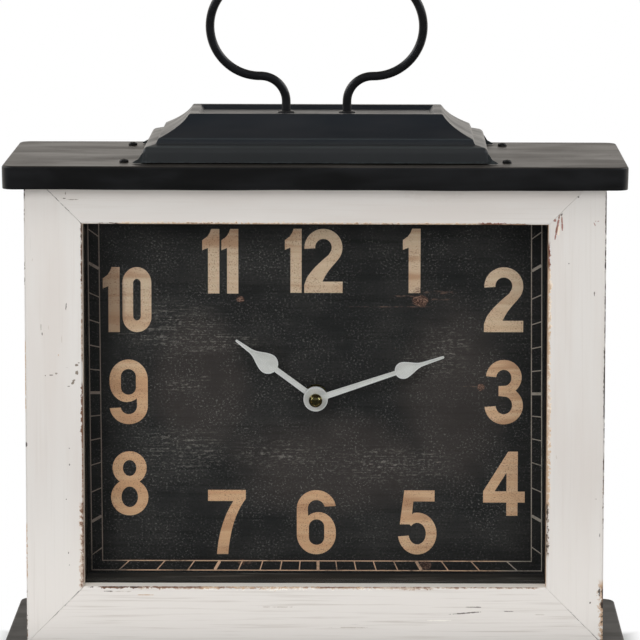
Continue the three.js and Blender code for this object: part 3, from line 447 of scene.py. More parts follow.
def pressedTray(label, finish):
    spec = tray[label]
    halfX, halfY, top, hem = spec["halfX"], spec["halfY"], spec["top"], spec["hem"]
    sheet, fold, bottom = tray["sheet"], tray["fold"], top - spec["drop"]

    def ring(inset, z):
        return cornered(halfX - inset, halfY - inset, max(tray["corner"] - inset, sheet), z)

    def shrunk(share, z):
        return [(x * share, y * share, z) for x, y, _ in ring(fold, z)]

    def bent(x, y, z):
        # only the flange moves
        low = max(0.0, (top - tray["plain"] - z) / (top - tray["plain"] - bottom))
        broad, shortX, shortY = tray["waves"]
        wave = math.sin(x / broad + 1.1) * 0.5 + math.sin(x / shortX + y / shortY) * 0.3
        side = 1 - min(1, abs(abs(x) - halfX) / tray["cornerReach"])
        inward = tray["dent"] * low * (0.3 + 0.2 * wave + 0.35 * side)
        return x * (1 - inward / halfX), y * (1 - inward / halfY), z + low * tray["droop"] * wave

    rings = [shrunk(share, top) for share in (0.02, 0.5, 0.97)]
    levels = [(fold + 0.4, top)]
    for turn in (math.pi / 2 * i / tray["foldSteps"] for i in range(tray["foldSteps"] + 1)):
        levels.append((fold * (1 - math.sin(turn)), top - fold * (1 - math.cos(turn))))
    levels += [(0, top - fold - 0.5), (0, (top + bottom) / 2), (0, bottom + 0.3), (0.12, bottom)]
    levels += ([(hem, bottom), (hem, bottom + sheet), (sheet, bottom + sheet)] if hem
               else [(sheet - 0.12, bottom), (sheet, bottom + 0.3)])
    levels += [(sheet, top - fold), (fold, top - sheet)]
    rings += [ring(*level) for level in levels] + [shrunk(share, top - sheet) for share in (0.97, 0.02)]
    points, faces = skin(rings)
    if not hem:
        points = [bent(*point) for point in points]
    holder = piece(f"{label}Plate", (points, faces), finish, (spec["node"],))
    bore = [(tray["hole"], top - 4), (tray["hole"], top + 4)]
    grooved(holder, [plug(bore, (x, y, 0)) for x, y in spec["holes"]])


wire = {
    "radius": 2.35, "sides": 24, "foot": 16.2, "tail": (292.6, 297, 301), "bend": 13.7, "bore": 2.5,
    "loop": 26.6, "loopX": 30.2, "topZ": 372.6, "topX": (20, 10, 0),
    # the washers: radius, height of the seat, height; then their domed outline as shares
    "washer": (4.4, 299.7, 1.2), "dome": ((1, 0.5), (0.94, 0.78), (0.82, 0.96), (0.74, 1)),
}
plinth = {
    "halfX": 91.3, "halfY": 52.5, "bottom": 277.8, "height": 24.0, "sheet": 1.0, "corner": 3.4, "ridge": 0.5,
    # the outline from the foot to the sunk panel, as insets and heights
    "foot": ((0.1, 0.5), (0.35, 2.5)), "band": (0.7, 5.0), "swell": (1.0, 8.2), "shoulder": (3.6, 8.7),
    "bead": ((7.1, 9.6), (7.6, 9.7)),  # raised a little where the step meets the riser
    "riser": (8.8, 12.3), "coveSag": 1.25, "coveLean": 0.18,
    "rim": (24.0, 5.4), "rimRound": 0.7, "recess": (1.4, 2.2), "edge": 0.4,
    "wander": (0.0035, 31, 9),  # of the sheet between its folds: share, and lengths of the wave
    # the tabs at the foot: past the side and above the foot
    "ear": ((-4.0, 0), (3.3, 0), (4.4, 0.35), (3.784, 0.9), (1.3, 2.2), (-0.2, 4.6), (-1.6, 6.2),
            (-4.0, 6.2)),
    "earThick": 0.8, "earBack": 2.2, "wireHole": (290, 310),
}


def plinthLine():
    riserIn, riserUp = plinth["riser"]
    rimIn, rimWide = plinth["rim"]
    slope, deep = plinth["recess"]
    high, rounding, sag = plinth["height"], plinth["rimRound"], 2 * plinth["coveSag"]
    run, rise = rimIn - riserIn, high - rounding - riserUp
    length, along = math.hypot(run, rise), 0.5 + plinth["coveLean"]
    control = (riserIn + run * along + sag * rise / length, riserUp + rise * along - sag * run / length)
    line = [*plinth["foot"], *curved(plinth["band"], plinth["swell"], plinth["shoulder"], 8), *plinth["bead"]]
    line += curved(plinth["riser"], control, (rimIn, high - rounding), 14)
    line += [(rimIn + rounding, high), (rimIn + rimWide - rounding, high),
             (rimIn + rimWide, high - rounding), (rimIn + rimWide + slope, high - deep)]
    return softened(line, plinth["edge"])


def makePlinth(finish):
    outline, sheet = plinthLine(), plinth["sheet"]

    def ring(inset, height):
        return cornered(plinth["halfX"] - inset, plinth["halfY"] - inset,
                        max(plinth["corner"] - inset, plinth["ridge"]), plinth["bottom"] + height, arcs=5)

    lastIn, lastUp = outline[-1]
    floorRing = ring(lastIn + 0.5, lastUp)
    panel = [floorRing] + [[(x * s, y * s, z) for x, y, z in floorRing] for s in (0.9, 0.02)]
    under = [[(x, y, z - sheet) for x, y, z in each] for each in reversed(panel)]
    inner = []
    for i, (inset, height) in reversed(list(enumerate(outline))):
        before, after = outline[max(i - 1, 0)], outline[min(i + 1, len(outline) - 1)]
        run, rise = after[0] - before[0], after[1] - before[1]
        length = math.hypot(run, rise) or 1
        inner.append(ring(inset + sheet * rise / length, max(height - sheet * run / length, 0)))
    points, faces = skin([ring(*point) for point in outline] + panel + under + inner, closed=True)
    share, waveX, waveZ = plinth["wander"]
    points = [(x, y * (1 - share * abs(math.sin(x / waveX + z / waveZ))), z) for x, y, z in points]
    body = piece("plinthShell", (points, faces), finish, ("plinth",))
    bore = [(wire["bore"], height) for height in plinth["wireHole"]]
    grooved(body, [plug(bore, (side * wire["foot"], 0, 0)) for side in (-1, 1)])
    line = [(plinth["halfX"] + out, plinth["bottom"] + up) for out, up in plinth["ear"]]
    for sideX, hand in ((-1, "Left"), (1, "Right")):
        for sideY, label in ((-1, "front"), (1, "back")):
            outer = sideY * (plinth["halfY"] - plinth["earBack"])
            faces = (outer, outer - sideY * plinth["earThick"])
            rings = [[(sideX * x, y, z) for x, z in line] for y in faces]
            piece(f"plinthEar.{label}{hand}", skin(rings), finish)


def makeHandle(finish):
    foot, bend, loop, top = wire["foot"], wire["bend"], wire["loop"], wire["topZ"]
    path = [(foot, z) for z in wire["tail"]]
    path += arc(foot + bend, top - 2 * loop - bend, -bend, bend, 0, 90, 18)
    path += arc(wire["loopX"], top - loop, loop, loop, -90, 90, 48) + [(x, top) for x in wire["topX"]]
    line = path[:1]
    for point in path[1:] + [(-x, z) for x, z in reversed(path[:-1])]:
        if math.dist(point, line[-1]) > 0.05:
            line.append(point)
    piece("handleLoop", skin(tube(line, wire["radius"], wire["sides"])), finish, ("handle_wire",))
    bore, (wide, seat, high) = wire["bore"], wire["washer"]
    profile = [(bore, seat), (wide - 0.15, seat), (wide, seat + 0.15)]
    profile += [(wide * out, seat + high * up) for out, up in wire["dome"]]
    profile += [(bore + 0.2, seat + high), (bore, seat + high - 0.2)]
    for side, label in ((-1, "left"), (1, "right")):
        shape = skin(turned(profile, 40, (side * foot, 0, 0)), closed=True)
        piece(f"footWasher.{label}", shape, finish, (f"handle_washer_{label}",))


panScrew = {
    "head": 2.4, "rise": 1.7, "shank": 1.2, "length": 10.0, "point": 2.4, "turns": 9, "thread": 0.16,
    "dome": ((1, 0.42), (0.965, 0.62), (0.87, 0.81), (0.66, 0.94), (0.36, 0.985)),  # shares of head and rise
    "cross": (1.45, 0.375, 0.8),  # half reach, half width, depth
    "turn": (17, 31),  # degrees of the first cross, and from one screw to the next
}


def makeRoofScrews(finish):
    head, rise, shank, point = (panScrew[key] for key in ("head", "rise", "shank", "point"))
    half, slot, deep = panScrew["cross"]
    for index in range(4):
        name = f"roof_screw_{index + 1}"
        low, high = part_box(name)
        x, y, top = (low.x + high.x) / 2 / mm, (low.y + high.y) / 2 / mm, high.z / mm
        seat = top - rise
        tip = seat - panScrew["length"]
        profile = [(0.01, tip), (shank * 0.5, tip + point * 0.5)]
        crests = panScrew["turns"] * 2
        for i in range(crests):
            z = tip + point + (panScrew["length"] - point - 0.6) * i / (crests - 1)
            profile.append((shank - (panScrew["thread"] if i % 2 else 0), z))
        profile += [(shank, seat - 0.3), (shank, seat), (head - 0.12, seat), (head, seat + 0.12)]
        profile += [(head * out, seat + rise * up) for out, up in panScrew["dome"]] + [(0.01, seat + rise)]
        holder = piece(f"panScrew.{index + 1}", skin(turned(profile, 32, (x, y, 0))), finish, (name,))
        turn = Matrix.Rotation(math.radians(panScrew["turn"][0] + panScrew["turn"][1] * index), 4, "Z")
        cutters = []
        for reach, width in ((half, slot), (slot, half)):
            corners = product((-reach, reach), (-width, width), (top - deep, top + 1))
            cutters.append(cutter(corners, [
                (0, 1, 3, 2), (4, 6, 7, 5), (0, 4, 5, 1), (2, 3, 7, 6), (0, 2, 6, 4), (1, 5, 7, 3)]))
            cutters[-1].data.transform(Matrix.Translation(at(x, y, 0)) @ turn)
        grooved(holder, cutters)


# Hands: pressed blades with a raised rim round a flat, sunk face
hands = {
    "middle": 149.4, "thick": 0.8, "bevel": 0.22, "rim": 0.5, "sunk": 0.16, "hub": 6.5,
    "blade": 75.6, "taper": 0.42,  # angle of the blade's shoulder in degrees, and how soft its taper is
    "narrowRim": (0.42, 0.08),  # where the rim is wider than this share of the blade, and a little more
    "minute": {"length": 72.0, "arm": 3.4, "armEnd": 2.4, "blob": 49.1, "round": 4.5, "neck": 61.0,
               "neckWide": 2.0, "tip": 1.3, "turn": 71.4, "back": -27.9, "bore": 1.7,
               "body": "minute_work", "node": "minute_hand"},
    "hour": {"length": 52.8, "arm": 3.1, "armEnd": 2.9, "blob": 31.5, "round": 5.4, "neck": 44.5,
             "neckWide": 2.2, "tip": 1.2, "turn": 306.4, "back": -25.3, "bore": 2.6,
             "body": "hour_work", "node": "hour_hand"},
}


def handOutline(spec):
    # the right half from hub to tip as (across, along), then mirrored
    hub, big, neck, shoulder = hands["hub"], spec["round"], spec["neck"], math.radians(hands["blade"])
    start, low = (math.degrees(math.asin(wide / 2 / radius))
                  for wide, radius in ((spec["arm"], hub), (spec["armEnd"], big)))
    half = arc(0, 0, hub, hub, -90, 90 - start, 22)
    half += arc(0, spec["blob"], big, big, low - 90, 90 - hands["blade"], 16)
    first, narrow = half[-1], spec["neckWide"] / 2
    tangent = (neck - first[1]) * hands["taper"]
    control = [first, (first[0] - tangent * math.cos(shoulder), first[1] + tangent * math.sin(shoulder)),
               (narrow, neck - tangent), (narrow, neck)]
    for t in (i / 14 for i in range(1, 15)):
        share = ((1 - t) ** 3, 3 * t * (1 - t) ** 2, 3 * t * t * (1 - t), t ** 3)
        half.append(tuple(sum(s * c[k] for s, c in zip(share, control)) for k in (0, 1)))
    tip = spec["tip"] / 2
    half += arc(0, spec["length"] - tip, tip, tip, 0, 90, 5)[:-1]
    return half + [(0, spec["length"])] + [(-x, y) for x, y in reversed(half[1:])]


def insetLine(line, by):
    # every point moved inwards, square to its neighbours
    moved = []
    for i, (x, y) in enumerate(line):
        before, after = line[i - 1], line[(i + 1) % len(line)]
        run = math.dist(before, after) or 1
        moved.append((x - by * (after[1] - before[1]) / run, y + by * (after[0] - before[0]) / run))
    return moved


def makeHand(label, finish):
    spec = hands[label]
    outline, turn = handOutline(spec), math.radians(spec["turn"])
    bevel, rim, back = hands["bevel"], hands["rim"], spec["back"]
    front = back - hands["thick"]

    def placed(line, y):
        return [(x * math.cos(turn) + up * math.sin(turn), y, hands["middle"] + up * math.cos(turn)
                 - x * math.sin(turn)) for x, up in line]

    def within(times):
        # the blade narrows, so its sunk face stays at a share of the half width there
        share, more = hands["narrowRim"]
        return [tuple(o + (n - o) * (min(rim, abs(a[0]) * share + more) / rim) * times for o, n in zip(a, b))
                for a, b in zip(outline, insetLine(outline, rim))]

    rings = [placed(insetLine(outline, 0.1), back), placed(outline, back - 0.1),
             placed(outline, front + bevel), placed(insetLine(outline, bevel * 0.5), front + 0.03),
             placed(within(1), front), placed(within(1.5), front + hands["sunk"])]
    holder = piece(f"{label}Blade", skin(rings), finish, (spec["node"],), spec["body"], 40)
    bore = [(spec["bore"], back + 1), (spec["bore"], front - 1)]
    grooved(holder, [plug(bore, (0, 0, hands["middle"]), "Y")])


capNut = {"round": 3.7, "neck": 2.3, "bore": 1.1, "boreEnd": (-30.6, -30.4), "ball": -32.3, "back": -29.2,
          "front": -36.0}


def makeCapNut(finish):
    big, neck, bore, ball, back = (capNut[key] for key in ("round", "neck", "bore", "ball", "back"))
    start = math.degrees(math.asin(neck / big))
    profile = [(0.01, capNut["boreEnd"][0]), (bore, capNut["boreEnd"][1]), (bore, back),
               (neck - 0.12, back), (neck, back - 0.12)]
    profile += [(r, y) for y, r in arc(ball, 0, big, big, start, 180, 22)[:-1]] + [(0.01, capNut["front"])]
    shape = skin(turned(profile, 48, (0, 0, hands["middle"]), "Y"))
    piece("domedCapNut", shape, finish, ("cap_nut",), "minute_work")


# Dial print: numerals, two border lines and a minute track, a hair proud of the board
dial = {
    "face": -15.5, "ink": 0.05, "lineInk": 0.04, "tickInk": 0.032,
    "innerBorder": (-115.1, 115.2, 59.4, 242.4), "outerBorder": (-120.9, 120.7, 54.2, 248.2),
    "trackMiddle": (0.6, 150.6), "trackLean": 0.0066,  # the track is printed a little out of square
    "line": 0.5, "tick": 0.55, "hourTick": 1.5,
    "numerals": {  # bottom and top, then left and right of each digit
        "12": (204.8, 239.2, (-16.6, -7.7), (-6.3, 14.2)),
        "11": (204.3, 239.0, (-60.6, -51.5), (-50.4, -41.4)),
        "01": (204.8, 239.4, (46.2, 55.6)),
        "10": (183.4, 218.4, (-113.7, -104.7), (-103.2, -87.8)),
        "02": (183.9, 218.8, (89.6, 110.6)), "09": (133.6, 168.6, (-110.4, -89.9)),
        "03": (134.0, 168.9, (90.2, 110.7)), "08": (84.0, 118.9, (-109.8, -89.8)),
        "04": (84.3, 119.2, (89.7, 112.0)), "07": (63.0, 98.0, (-57.8, -37.6)),
        "06": (63.0, 98.0, (-10.2, 10.8)), "05": (63.0, 98.0, (44.0, 64.8)),
    },
}


def pill(x0, x1, y0, y1, corner):
    # a closed loop with round ends
    half = (x1 - x0) / 2
    middle = x1 - half
    return arc(middle, y1 - corner, half, corner, 0, 180) + arc(middle, y0 + corner, half, corner, 180, 360)


# each digit's width on its field, and its loops; the first loop is the outside
fieldHigh = 65
digits = {
    "0": (28.5, [pill(0, 28.5, 0, 65, 15.5), pill(10.5, 18.0, 11.8, 53.2, 4.4)]),
    "1": (16, [[(5.3, 0), (16, 0), (16, 65), (8.3, 65), (7.2, 61.4), (4.6, 57.2), (0, 53.6), (0, 43.6),
                (5.3, 45.9)]]),
    "2": (38.5, [arc(19.2, 46, 19, 19, 184, -32, 34) + curved((32, 31.5), (22, 21), (18.2, 11.4), 5)
                 + [(38.4, 11.4), (38.4, 0), (0, 0), (0, 8)] + curved((2.5, 15), (8, 25), (24.5, 38.6), 6)
                 + arc(19.2, 46.2, 8.3, 8.6, -38, 186, 24)]),
    "3": (37, [arc(18.4, 47.4, 17.2, 17.6, 176, -50, 30) + [(31, 33.7)]
               + arc(18.5, 18.9, 18.5, 18.9, 50, -176, 34) + [(10.4, 18.4)]
               + arc(18.6, 19.2, 7.9, 9, -174, 74, 24) + [(13.4, 28.6), (13.4, 38.6)]
               + arc(18.4, 46.8, 7.4, 8.2, -72, 174, 24)]),
    "4": (42, [[(25.1, 65), (34.8, 65), (34.8, 24.5), (42, 24.5), (42, 13.4), (34.8, 13.4), (34.8, 0),
                (23.5, 0), (23.5, 13.4), (0, 13.4), (0, 24.8)], [(23.5, 24.8), (23.5, 43.8), (11.6, 24.8)]]),
    "5": (38.5, [[(6.4, 65), (36.4, 65), (36.4, 53.8), (15.4, 53.8), (14, 40.6)]
                 + arc(19.3, 21.3, 19.2, 21.2, 100, -172, 38) + [(10.8, 19.2)]
                 + arc(19.3, 21.2, 8.6, 11, -170, 136, 26) + [(11.8, 30.6), (2, 30.6)]]),
    "6": (38.5, [arc(19.2, 46.4, 19.2, 18.6, 8, 180, 28) + arc(19.2, 20.4, 19.2, 20.4, 180, 366, 34)
                 + arc(21.2, 22.6, 17.2, 20.2, 0, 126, 20) + arc(19.2, 46.2, 8.4, 8.8, 182, 14, 20),
                 pill(11.9, 27, 9.6, 35.4, 7.6)]),
    "7": (37.5, [[(0, 65), (37.5, 65), (37.5, 56)] + curved((37.5, 56), (22.6, 36), (20, 0), 12)
                 + curved((8.8, 0), (11, 31), (25.2, 53.8), 12) + [(0, 53.8)]]),
    "8": (37, [arc(18.5, 48.1, 16.9, 16.9, -54, 234, 36) + arc(18.5, 18.5, 18.5, 18.5, 122, 418, 40),
               arc(18.5, 48, 6.7, 8.1, 0, 360, 24)[:-1], arc(18.5, 18.8, 8.2, 10.4, 0, 360, 28)[:-1]]),
}
digits["9"] = (38.5, [[(38.5 - x, fieldHigh - y) for x, y in loop] for loop in digits["6"][1]])


def printed(name, loops, ink, finish):
    # a flat filled outline with holes, standing a hair proud of the dial
    curve = bpy.data.curves.new(name, "CURVE")
    curve.dimensions, curve.fill_mode = "2D", "BOTH"
    curve.extrude = ink * mm / 2
    for loop in loops:
        spline = curve.splines.new("POLY")
        spline.points.add(len(loop) - 1)
        for point, (x, z) in zip(spline.points, loop):
            point.co = (x * mm, z * mm, 0, 1)
        spline.use_cyclic_u = True
    holder = added(name, curve)
    mesh = settled(holder)
    bpy.data.objects.remove(holder)
    # the curve lies in XY; it stands up so that its front looks at -Y
    upright = Matrix.Rotation(math.pi / 2, 4, "X")
    mesh.transform(Matrix.Translation(at(0, dial["face"] - ink / 2, 0)) @ upright)
    dressed(name, mesh, finish, (), "clock_case")


def makeNumerals(finish):
    for label, (low, high, *places) in dial["numerals"].items():
        for index, (digit, (left, right)) in enumerate(zip(label.lstrip("0"), places)):
            wide, loops = digits[digit]
            scaled = [[(left + x / wide * (right - left), low + y / fieldHigh * (high - low))
                       for x, y in loop] for loop in loops]
            printed(f"numeral{label}.{'ab'[index]}", scaled, dial["ink"], finish)


def makeMinuteTrack(finish):
    line, borders = dial["line"] / 2, (dial["innerBorder"], dial["outerBorder"])
    midX, midZ = dial["trackMiddle"]

    def leaned(shapes):
        return [[(x + (midZ - z) * dial["trackLean"], z) for x, z in shape] for shape in shapes]

    def reach(box, across, up):
        # from the middle to the border, in the direction of a tick
        ends = []
        for step, middle, low, high in ((across, midX, *box[:2]), (up, midZ, *box[2:])):
            if abs(step) > 1e-6:
                ends.append(((high if step > 0 else low) - middle) / step)
        return min(ends)

    loops = [[(x0 - out, z0 - out), (x1 + out, z0 - out), (x1 + out, z1 + out), (x0 - out, z1 + out)]
             for x0, x1, z0, z1 in borders for out in (line, -line)]
    printed("borderLines", leaned(loops), dial["lineInk"], finish)
    ticks = []
    for minute in range(60):
        turn = math.radians(6 * minute)
        across, up = math.sin(turn), math.cos(turn)
        near, far = reach(borders[0], across, up) + line, reach(borders[1], across, up) - line
        half = (dial["tick"] if minute % 5 else dial["hourTick"]) / 2
        ticks.append([(midX + across * r + side * half * up, midZ + up * r - side * half * across)
                      for r, side in ((near, -1), (near, 1), (far, 1), (far, -1))])
    printed("minuteTicks", leaned(ticks), dial["tickInk"], finish)


# Finishes. A row of patterns is grains to a metre, for all or for each direction, then detail, roughness
# and distortion.
paintTones = {
    "fresh": "D7D3CF", "aged": "D3CDC8", "paintedLightNearBase": "E5E0DB", "streak": "C5BDB5", "lit": "F6F2EA",
    "cream": "E7DACB", "bare": "C5A88D", "rubbed": "CDBBAC", "olive": "6E6151", "brown": "7A5A48",
    "dark": "3B3430", "rust": "8E574A", "crack": "5A504A", "faint": "8F867D",
}
opening = {"halfX": 122.2, "halfZ": 96.7, "outX": 152.5, "outZ": 127.0, "middle": 149.4, "face": -52.0}
railPatterns = {  # for a rail along X, and turned for one along Z
    "broad": ((8, 40, 60), 3, 0.55), "brush": ((14, 240, 700), 3, 0.6), "nick": ((90, 160, 160), 4, 0.65),
    "hairline": ((16, 8, 620), 3, 0.6), "cloud": (26, 3, 0.5), "flake": (520, 4, 0.62, 0.6),
    "gap": (150, 3, 0.6),
}
railWear = {
    # a worn stretch is from, to, share, width and two tones along the rail; a mitre is side, from, to and
    # share outwards from the opening; a chip is place, reach, tone and lean
    "rail_top": {
        "along": "X", "seed": 3.1, "lip": "bare", "drag": 0.25, "checks": 0.1,
        "mitres": [(-1, 0, 31, 0.8)],
        "inner": [(-113, -98, 0.6, 0.8, "brown", "dark"), (-103, 86, 0.93, 1.25, "cream", "bare"),
                  (-80, 60, 0.35, 0.8, "brown", "bare"), (86, 99, 0.88, 1.2, "rust", "brown"),
                  (98, 111, 0.6, 0.7, "brown", "bare")],
        "outer": [],
        "chips": [(-127.4, 258.9, 4.4, 0.4, "faint"), (-131.2, 259.5, 1.0, 0.4, "crack"),
                  (-130.6, 262.0, 0.45, 1.7, "faint"), (62, 262, 22, 5, "aged")],
    },
    "rail_bottom": {
        # this rail's lip tone is painted light for its upward face
        "along": "X", "seed": 8.7, "lip": "lit", "drag": 0.75, "checks": 0.5,
        "mitres": [(-1, 0, 17, 0.75), (1, 12, 31, 0.8)],
        "inner": [(-119, -113, 0.55, 0.6, "crack", "dark"), (-114, -103, 0.8, 1.1, "brown", "dark"),
                  (-104, -92, 0.92, 1.1, "brown", "dark"), (-93, 62, 0.9, 1.4, "rubbed", "brown"),
                  (-60, 40, 0.5, 1.7, "lit", "bare"), (40, 118, 0.72, 0.8, "rubbed", "brown")],
        "outer": [],
        "chips": [(-103, 50.1, 9, 0.5, "streak"), (-109, 50.3, 4, 0.35, "crack"), (-90, 48.4, 6, 0.4, "bare"),
                  (84, 42.2, 6.5, 0.35, "crack"), (103, 40.0, 4, 0.3, "crack"),
                  (80, 39.0, 12, 0.5, "crack", 0.0833), (119, 38.2, 4, 0.3, "streak"), (66, 35, 9, 0.5, "lit"),
                  (-20, 42, 14, 0.4, "streak"), (20, 31, 16, 0.4, "streak")],
    },
    "rail_left": {
        "along": "Z", "seed": 1.3, "lip": "cream", "drag": 0.2, "checks": 0.14,
        "mitres": [(-1, 0, 17, 0.75), (1, 0, 31, 0.8)],
        "inner": [(212, 247, 0.85, 0.8, "brown", "dark"), (173, 214, 0.85, 0.8, "rubbed", "brown"),
                  (130, 161, 0.9, 1.2, "brown", "brown"), (94, 134, 0.85, 0.9, "rubbed", "brown"),
                  (52, 97, 0.93, 2.2, "rubbed", "brown")],
        "outer": [(259, 268, 0.9, 0.7, "crack", "dark"), (247, 254, 0.8, 0.5, "faint", "crack"),
                  (213, 226, 0.7, 0.5, "faint", "crack"), (147, 184, 0.85, 0.7, "rubbed", "bare"),
                  (57, 86, 0.85, 0.8, "rubbed", "bare"), (24, 50, 0.5, 0.5, "faint", "brown")],
        "chips": [(-125.2, 171.3, 1.5, 0.9, "olive"), (-124.0, 172.5, 1.1, 0.5, "olive"),
                  (-125.2, 167.4, 1.15, 1.7, "olive"), (-127.1, 162.5, 1.2, 2.2, "olive", 0.3),
                  (-129.6, 160.0, 1.6, 0.35, "crack"), (-130.6, 170.1, 1.3, 0.4, "faint"),
                  (-138.7, 166.0, 1.7, 0.55, "crack"), (-135.9, 166.9, 1.0, 0.7, "faint"),
                  (-141.8, 165.7, 0.4, 0.4, "crack"), (-134.9, 176.6, 0.4, 0.8, "bare"),
                  (-143.3, 187.8, 0.5, 1.6, "crack"), (-133.1, 185.2, 0.3, 2.6, "streak"),
                  (-152.1, 128.9, 0.9, 1.5, "dark"), (-130.6, 202.4, 0.5, 2.8, "crack", 0.1),
                  (-143.9, 191.5, 0.3, 2.2, "faint"), (-140, 191.3, 0.3, 2.0, "streak"),
                  (-129.5, 127.0, 0.5, 0.6, "crack"), (-129.4, 118.2, 0.4, 0.7, "dark"),
                  (-131.2, 99.6, 0.5, 0.5, "dark"), (-130.2, 70.8, 0.35, 1.0, "crack"),
                  (-129.8, 64.6, 0.7, 0.9, "dark"), (-139.4, 34.5, 0.9, 0.7, "brown"),
                  (-148.2, 226.8, 0.4, 2.4, "streak", 0.2)],
    },
    "rail_right": {
        "along": "Z", "seed": 5.9, "lip": "bare", "drag": 0.2, "checks": 0.14,
        "mitres": [(-1, 12, 31, 0.8)],
        "inner": [(229, 236, 0.85, 1.0, "rust", "dark"), (220, 230, 0.88, 1.2, "rust", "brown"),
                  (96, 223, 0.97, 2.0, "cream", "bare"), (100, 190, 0.4, 1.2, "rubbed", "bare"),
                  (70, 98, 0.6, 1.5, "rubbed", "dark")],
        "outer": [(222, 268, 0.85, 0.75, "crack", "dark"), (184, 216, 0.75, 0.6, "crack", "dark"),
                  (144, 181, 0.85, 1.0, "crack", "dark"), (130, 146, 0.8, 0.45, "crack", "dark"),
                  (106, 124, 0.6, 0.7, "faint", "crack"), (84, 108, 0.5, 0.9, "rubbed", "faint"),
                  (20, 56, 0.97, 2.6, "rubbed", "bare"), (22, 53, 0.45, 1.2, "brown", "dark")],
        "chips": [(126.7, 245.2, 0.85, 8.4, "rust", 0.166), (129.2, 247.0, 0.55, 5.8, "rust", -0.05),
                  (127.6, 250.6, 0.45, 2.2, "brown", 0.16), (126.2, 243.5, 0.4, 3.0, "brown", 0.2),
                  (125.6, 248.6, 1.0, 1.3, "rust"), (128.9, 251.6, 0.8, 0.9, "crack", 0.5),
                  (127.5, 243.0, 0.8, 4.0, "cream", 0.1), (150.4, 81.0, 0.4, 2.0, "dark"),
                  (150.5, 50.8, 1.0, 3.2, "dark"), (151.6, 44.8, 0.7, 2.6, "dark"),
                  (147.6, 248.2, 1.7, 0.35, "rust"), (146.2, 246.6, 0.35, 1.5, "rust", -0.4),
                  (137.6, 260.9, 0.6, 0.5, "dark"), (132.9, 225.8, 0.6, 0.7, "crack"),
                  (146.4, 210.0, 0.6, 2.0, "crack"), (148.2, 100.5, 1.2, 0.3, "crack"),
                  (127.2, 123.0, 0.35, 1.6, "streak", -0.2), (145.7, 44.7, 0.6, 0.9, "crack")],
    },
}


def whitePaint(name):
    wear = railWear[name]
    made = Finish(f"whitePaint.{name}", paintTones)
    x, y, z = made.split(made.place)
    alongX, seed = wear["along"] == "X", wear["seed"]
    made.place = made.moved("ADD", (seed, seed * 0.7, seed * 1.3))
    broad, brush, nick, hairline, cloud, flake, gap = made.patterns(railPatterns, 1 if alongX else -1)
    end = x if alongX else z
    pastX = abs(x) - opening["halfX"] * mm
    pastZ = abs(z - opening["middle"] * mm) - opening["halfZ"] * mm
    inside = pastX.most(pastZ)
    outside = ((opening["outX"] - opening["halfX"]) * mm - pastX).least(
        (opening["outZ"] - opening["halfZ"]) * mm - pastZ)
    depth = (y - opening["face"] * mm).most(0.0)

    def stretch(value, first, last, before=2, after=2):
        return value.between(*[step * mm for step in (first - 2, first + before, last - 2, last + after)])

    made.ground(broad.fade(0.38, 0.68), "fresh", "aged")
    made.coat(z.fade(0.03, 0.12, 1, 0), "paintedLightNearBase")  # painted light: the paint is lighter towards the base, lifting the shade that the dark base tray casts there
    made.coat(brush.fade(0.5, 0.75, 0, wear["drag"]), "streak")
    # the opening's inner face takes the rail's lip tone; on the bottom rail that tone is painted light,
    # brighter because the face looks up into the lamps
    made.coat(depth.fade(0.0001, 0.0003) * (0.0009 - inside).fade(0, 0.0003), wear["lip"])
    # hairline checks along the grain
    loss = hairline.fade(0.7, 0.76) * cloud.fade(0.62 - wear["checks"] * 0.3, 0.75 - wear["checks"] * 0.2)
    made.coat(loss * 0.7, "crack")
    # paint rubbed off the edges, round the corner of both faces
    for edge, stretches in ((inside, wear["inner"]), (outside, wear["outer"])):
        distance = edge.most(0.0) + depth
        for first, last, share, wide, light, dark in stretches:
            limit = 0.6 + (0.5 - share) * 0.3
            broken = (nick * 0.7 + flake * 0.5).fade(limit - 0.03, limit + 0.02)
            reach = (flake * 3 + nick * 1.2 - 1.3) * (wide * mm)
            mask = stretch(end, first, last) * broken * (reach - distance).fade(0, 0.00015)
            arris = (1 - distance / (wide * mm)).most(0.0)  # darkest along the arris itself
            made.coat(mask, made.mix((flake * 0.55 + brush * 0.3 + arris * 0.2).fade(0.49, 0.6), light, dark))
            loss = loss.most(mask)
    ragged = (flake - 0.5) * 2.6 + (brush - 0.5) * 1.4
    onFace = depth.fade(0.001, 0.003, 1, 0)
    for spotX, spotZ, wide, high, shade, *lean in wear["chips"]:
        across, up = x, z
        if lean and alongX:
            up = z - (x - spotX * mm) * lean[0]
        elif lean:
            across = x - (z - spotZ * mm) * lean[0]
        nearby = made.near(across, up, spotX, spotZ, wide, high)
        chip = (nearby * 1.1 + ragged).fade(0.55, 0.85) * nearby.fade(0, 0.25) * onFace
        made.coat(chip * 0.85, shade)
        loss = loss.most(chip)
    # mitres, dark where the paint has broken
    half = end - (0 if alongX else opening["middle"] * mm)
    joint = reduce(Flow.most, [
        (half * side).fade(0, 0.01, 0, share) * stretch(inside, first, last, 1, 1)
        for side, first, last, share in wear["mitres"]])
    joint = joint * gap.fade(0.4, 0.56) * (
        0.00027 + (flake - 0.5) * 0.0011 - abs(pastX - pastZ)).fade(0.0, 0.00014)
    made.coat(joint, "dark")
    bump = brush * 0.25 + broad * 0.2 - loss * 0.7 - joint
    return made.surface(loss.fade(0, 1, 0.58, 0.8), (bump, 0.4, 0.00035), specular=0.3)


# where paint has run into the mitres: corner, and the stretch outwards from the opening
paintFilm = {
    "wide": 0.4, "front": -52.006, "back": -50.6,
    "runs": {"topRight": (1, 1, 0.3, 30.0), "bottomRight": (1, -1, 0.3, 12.0),
             "bottomLeft": (-1, -1, 18.0, 30.0)},
}


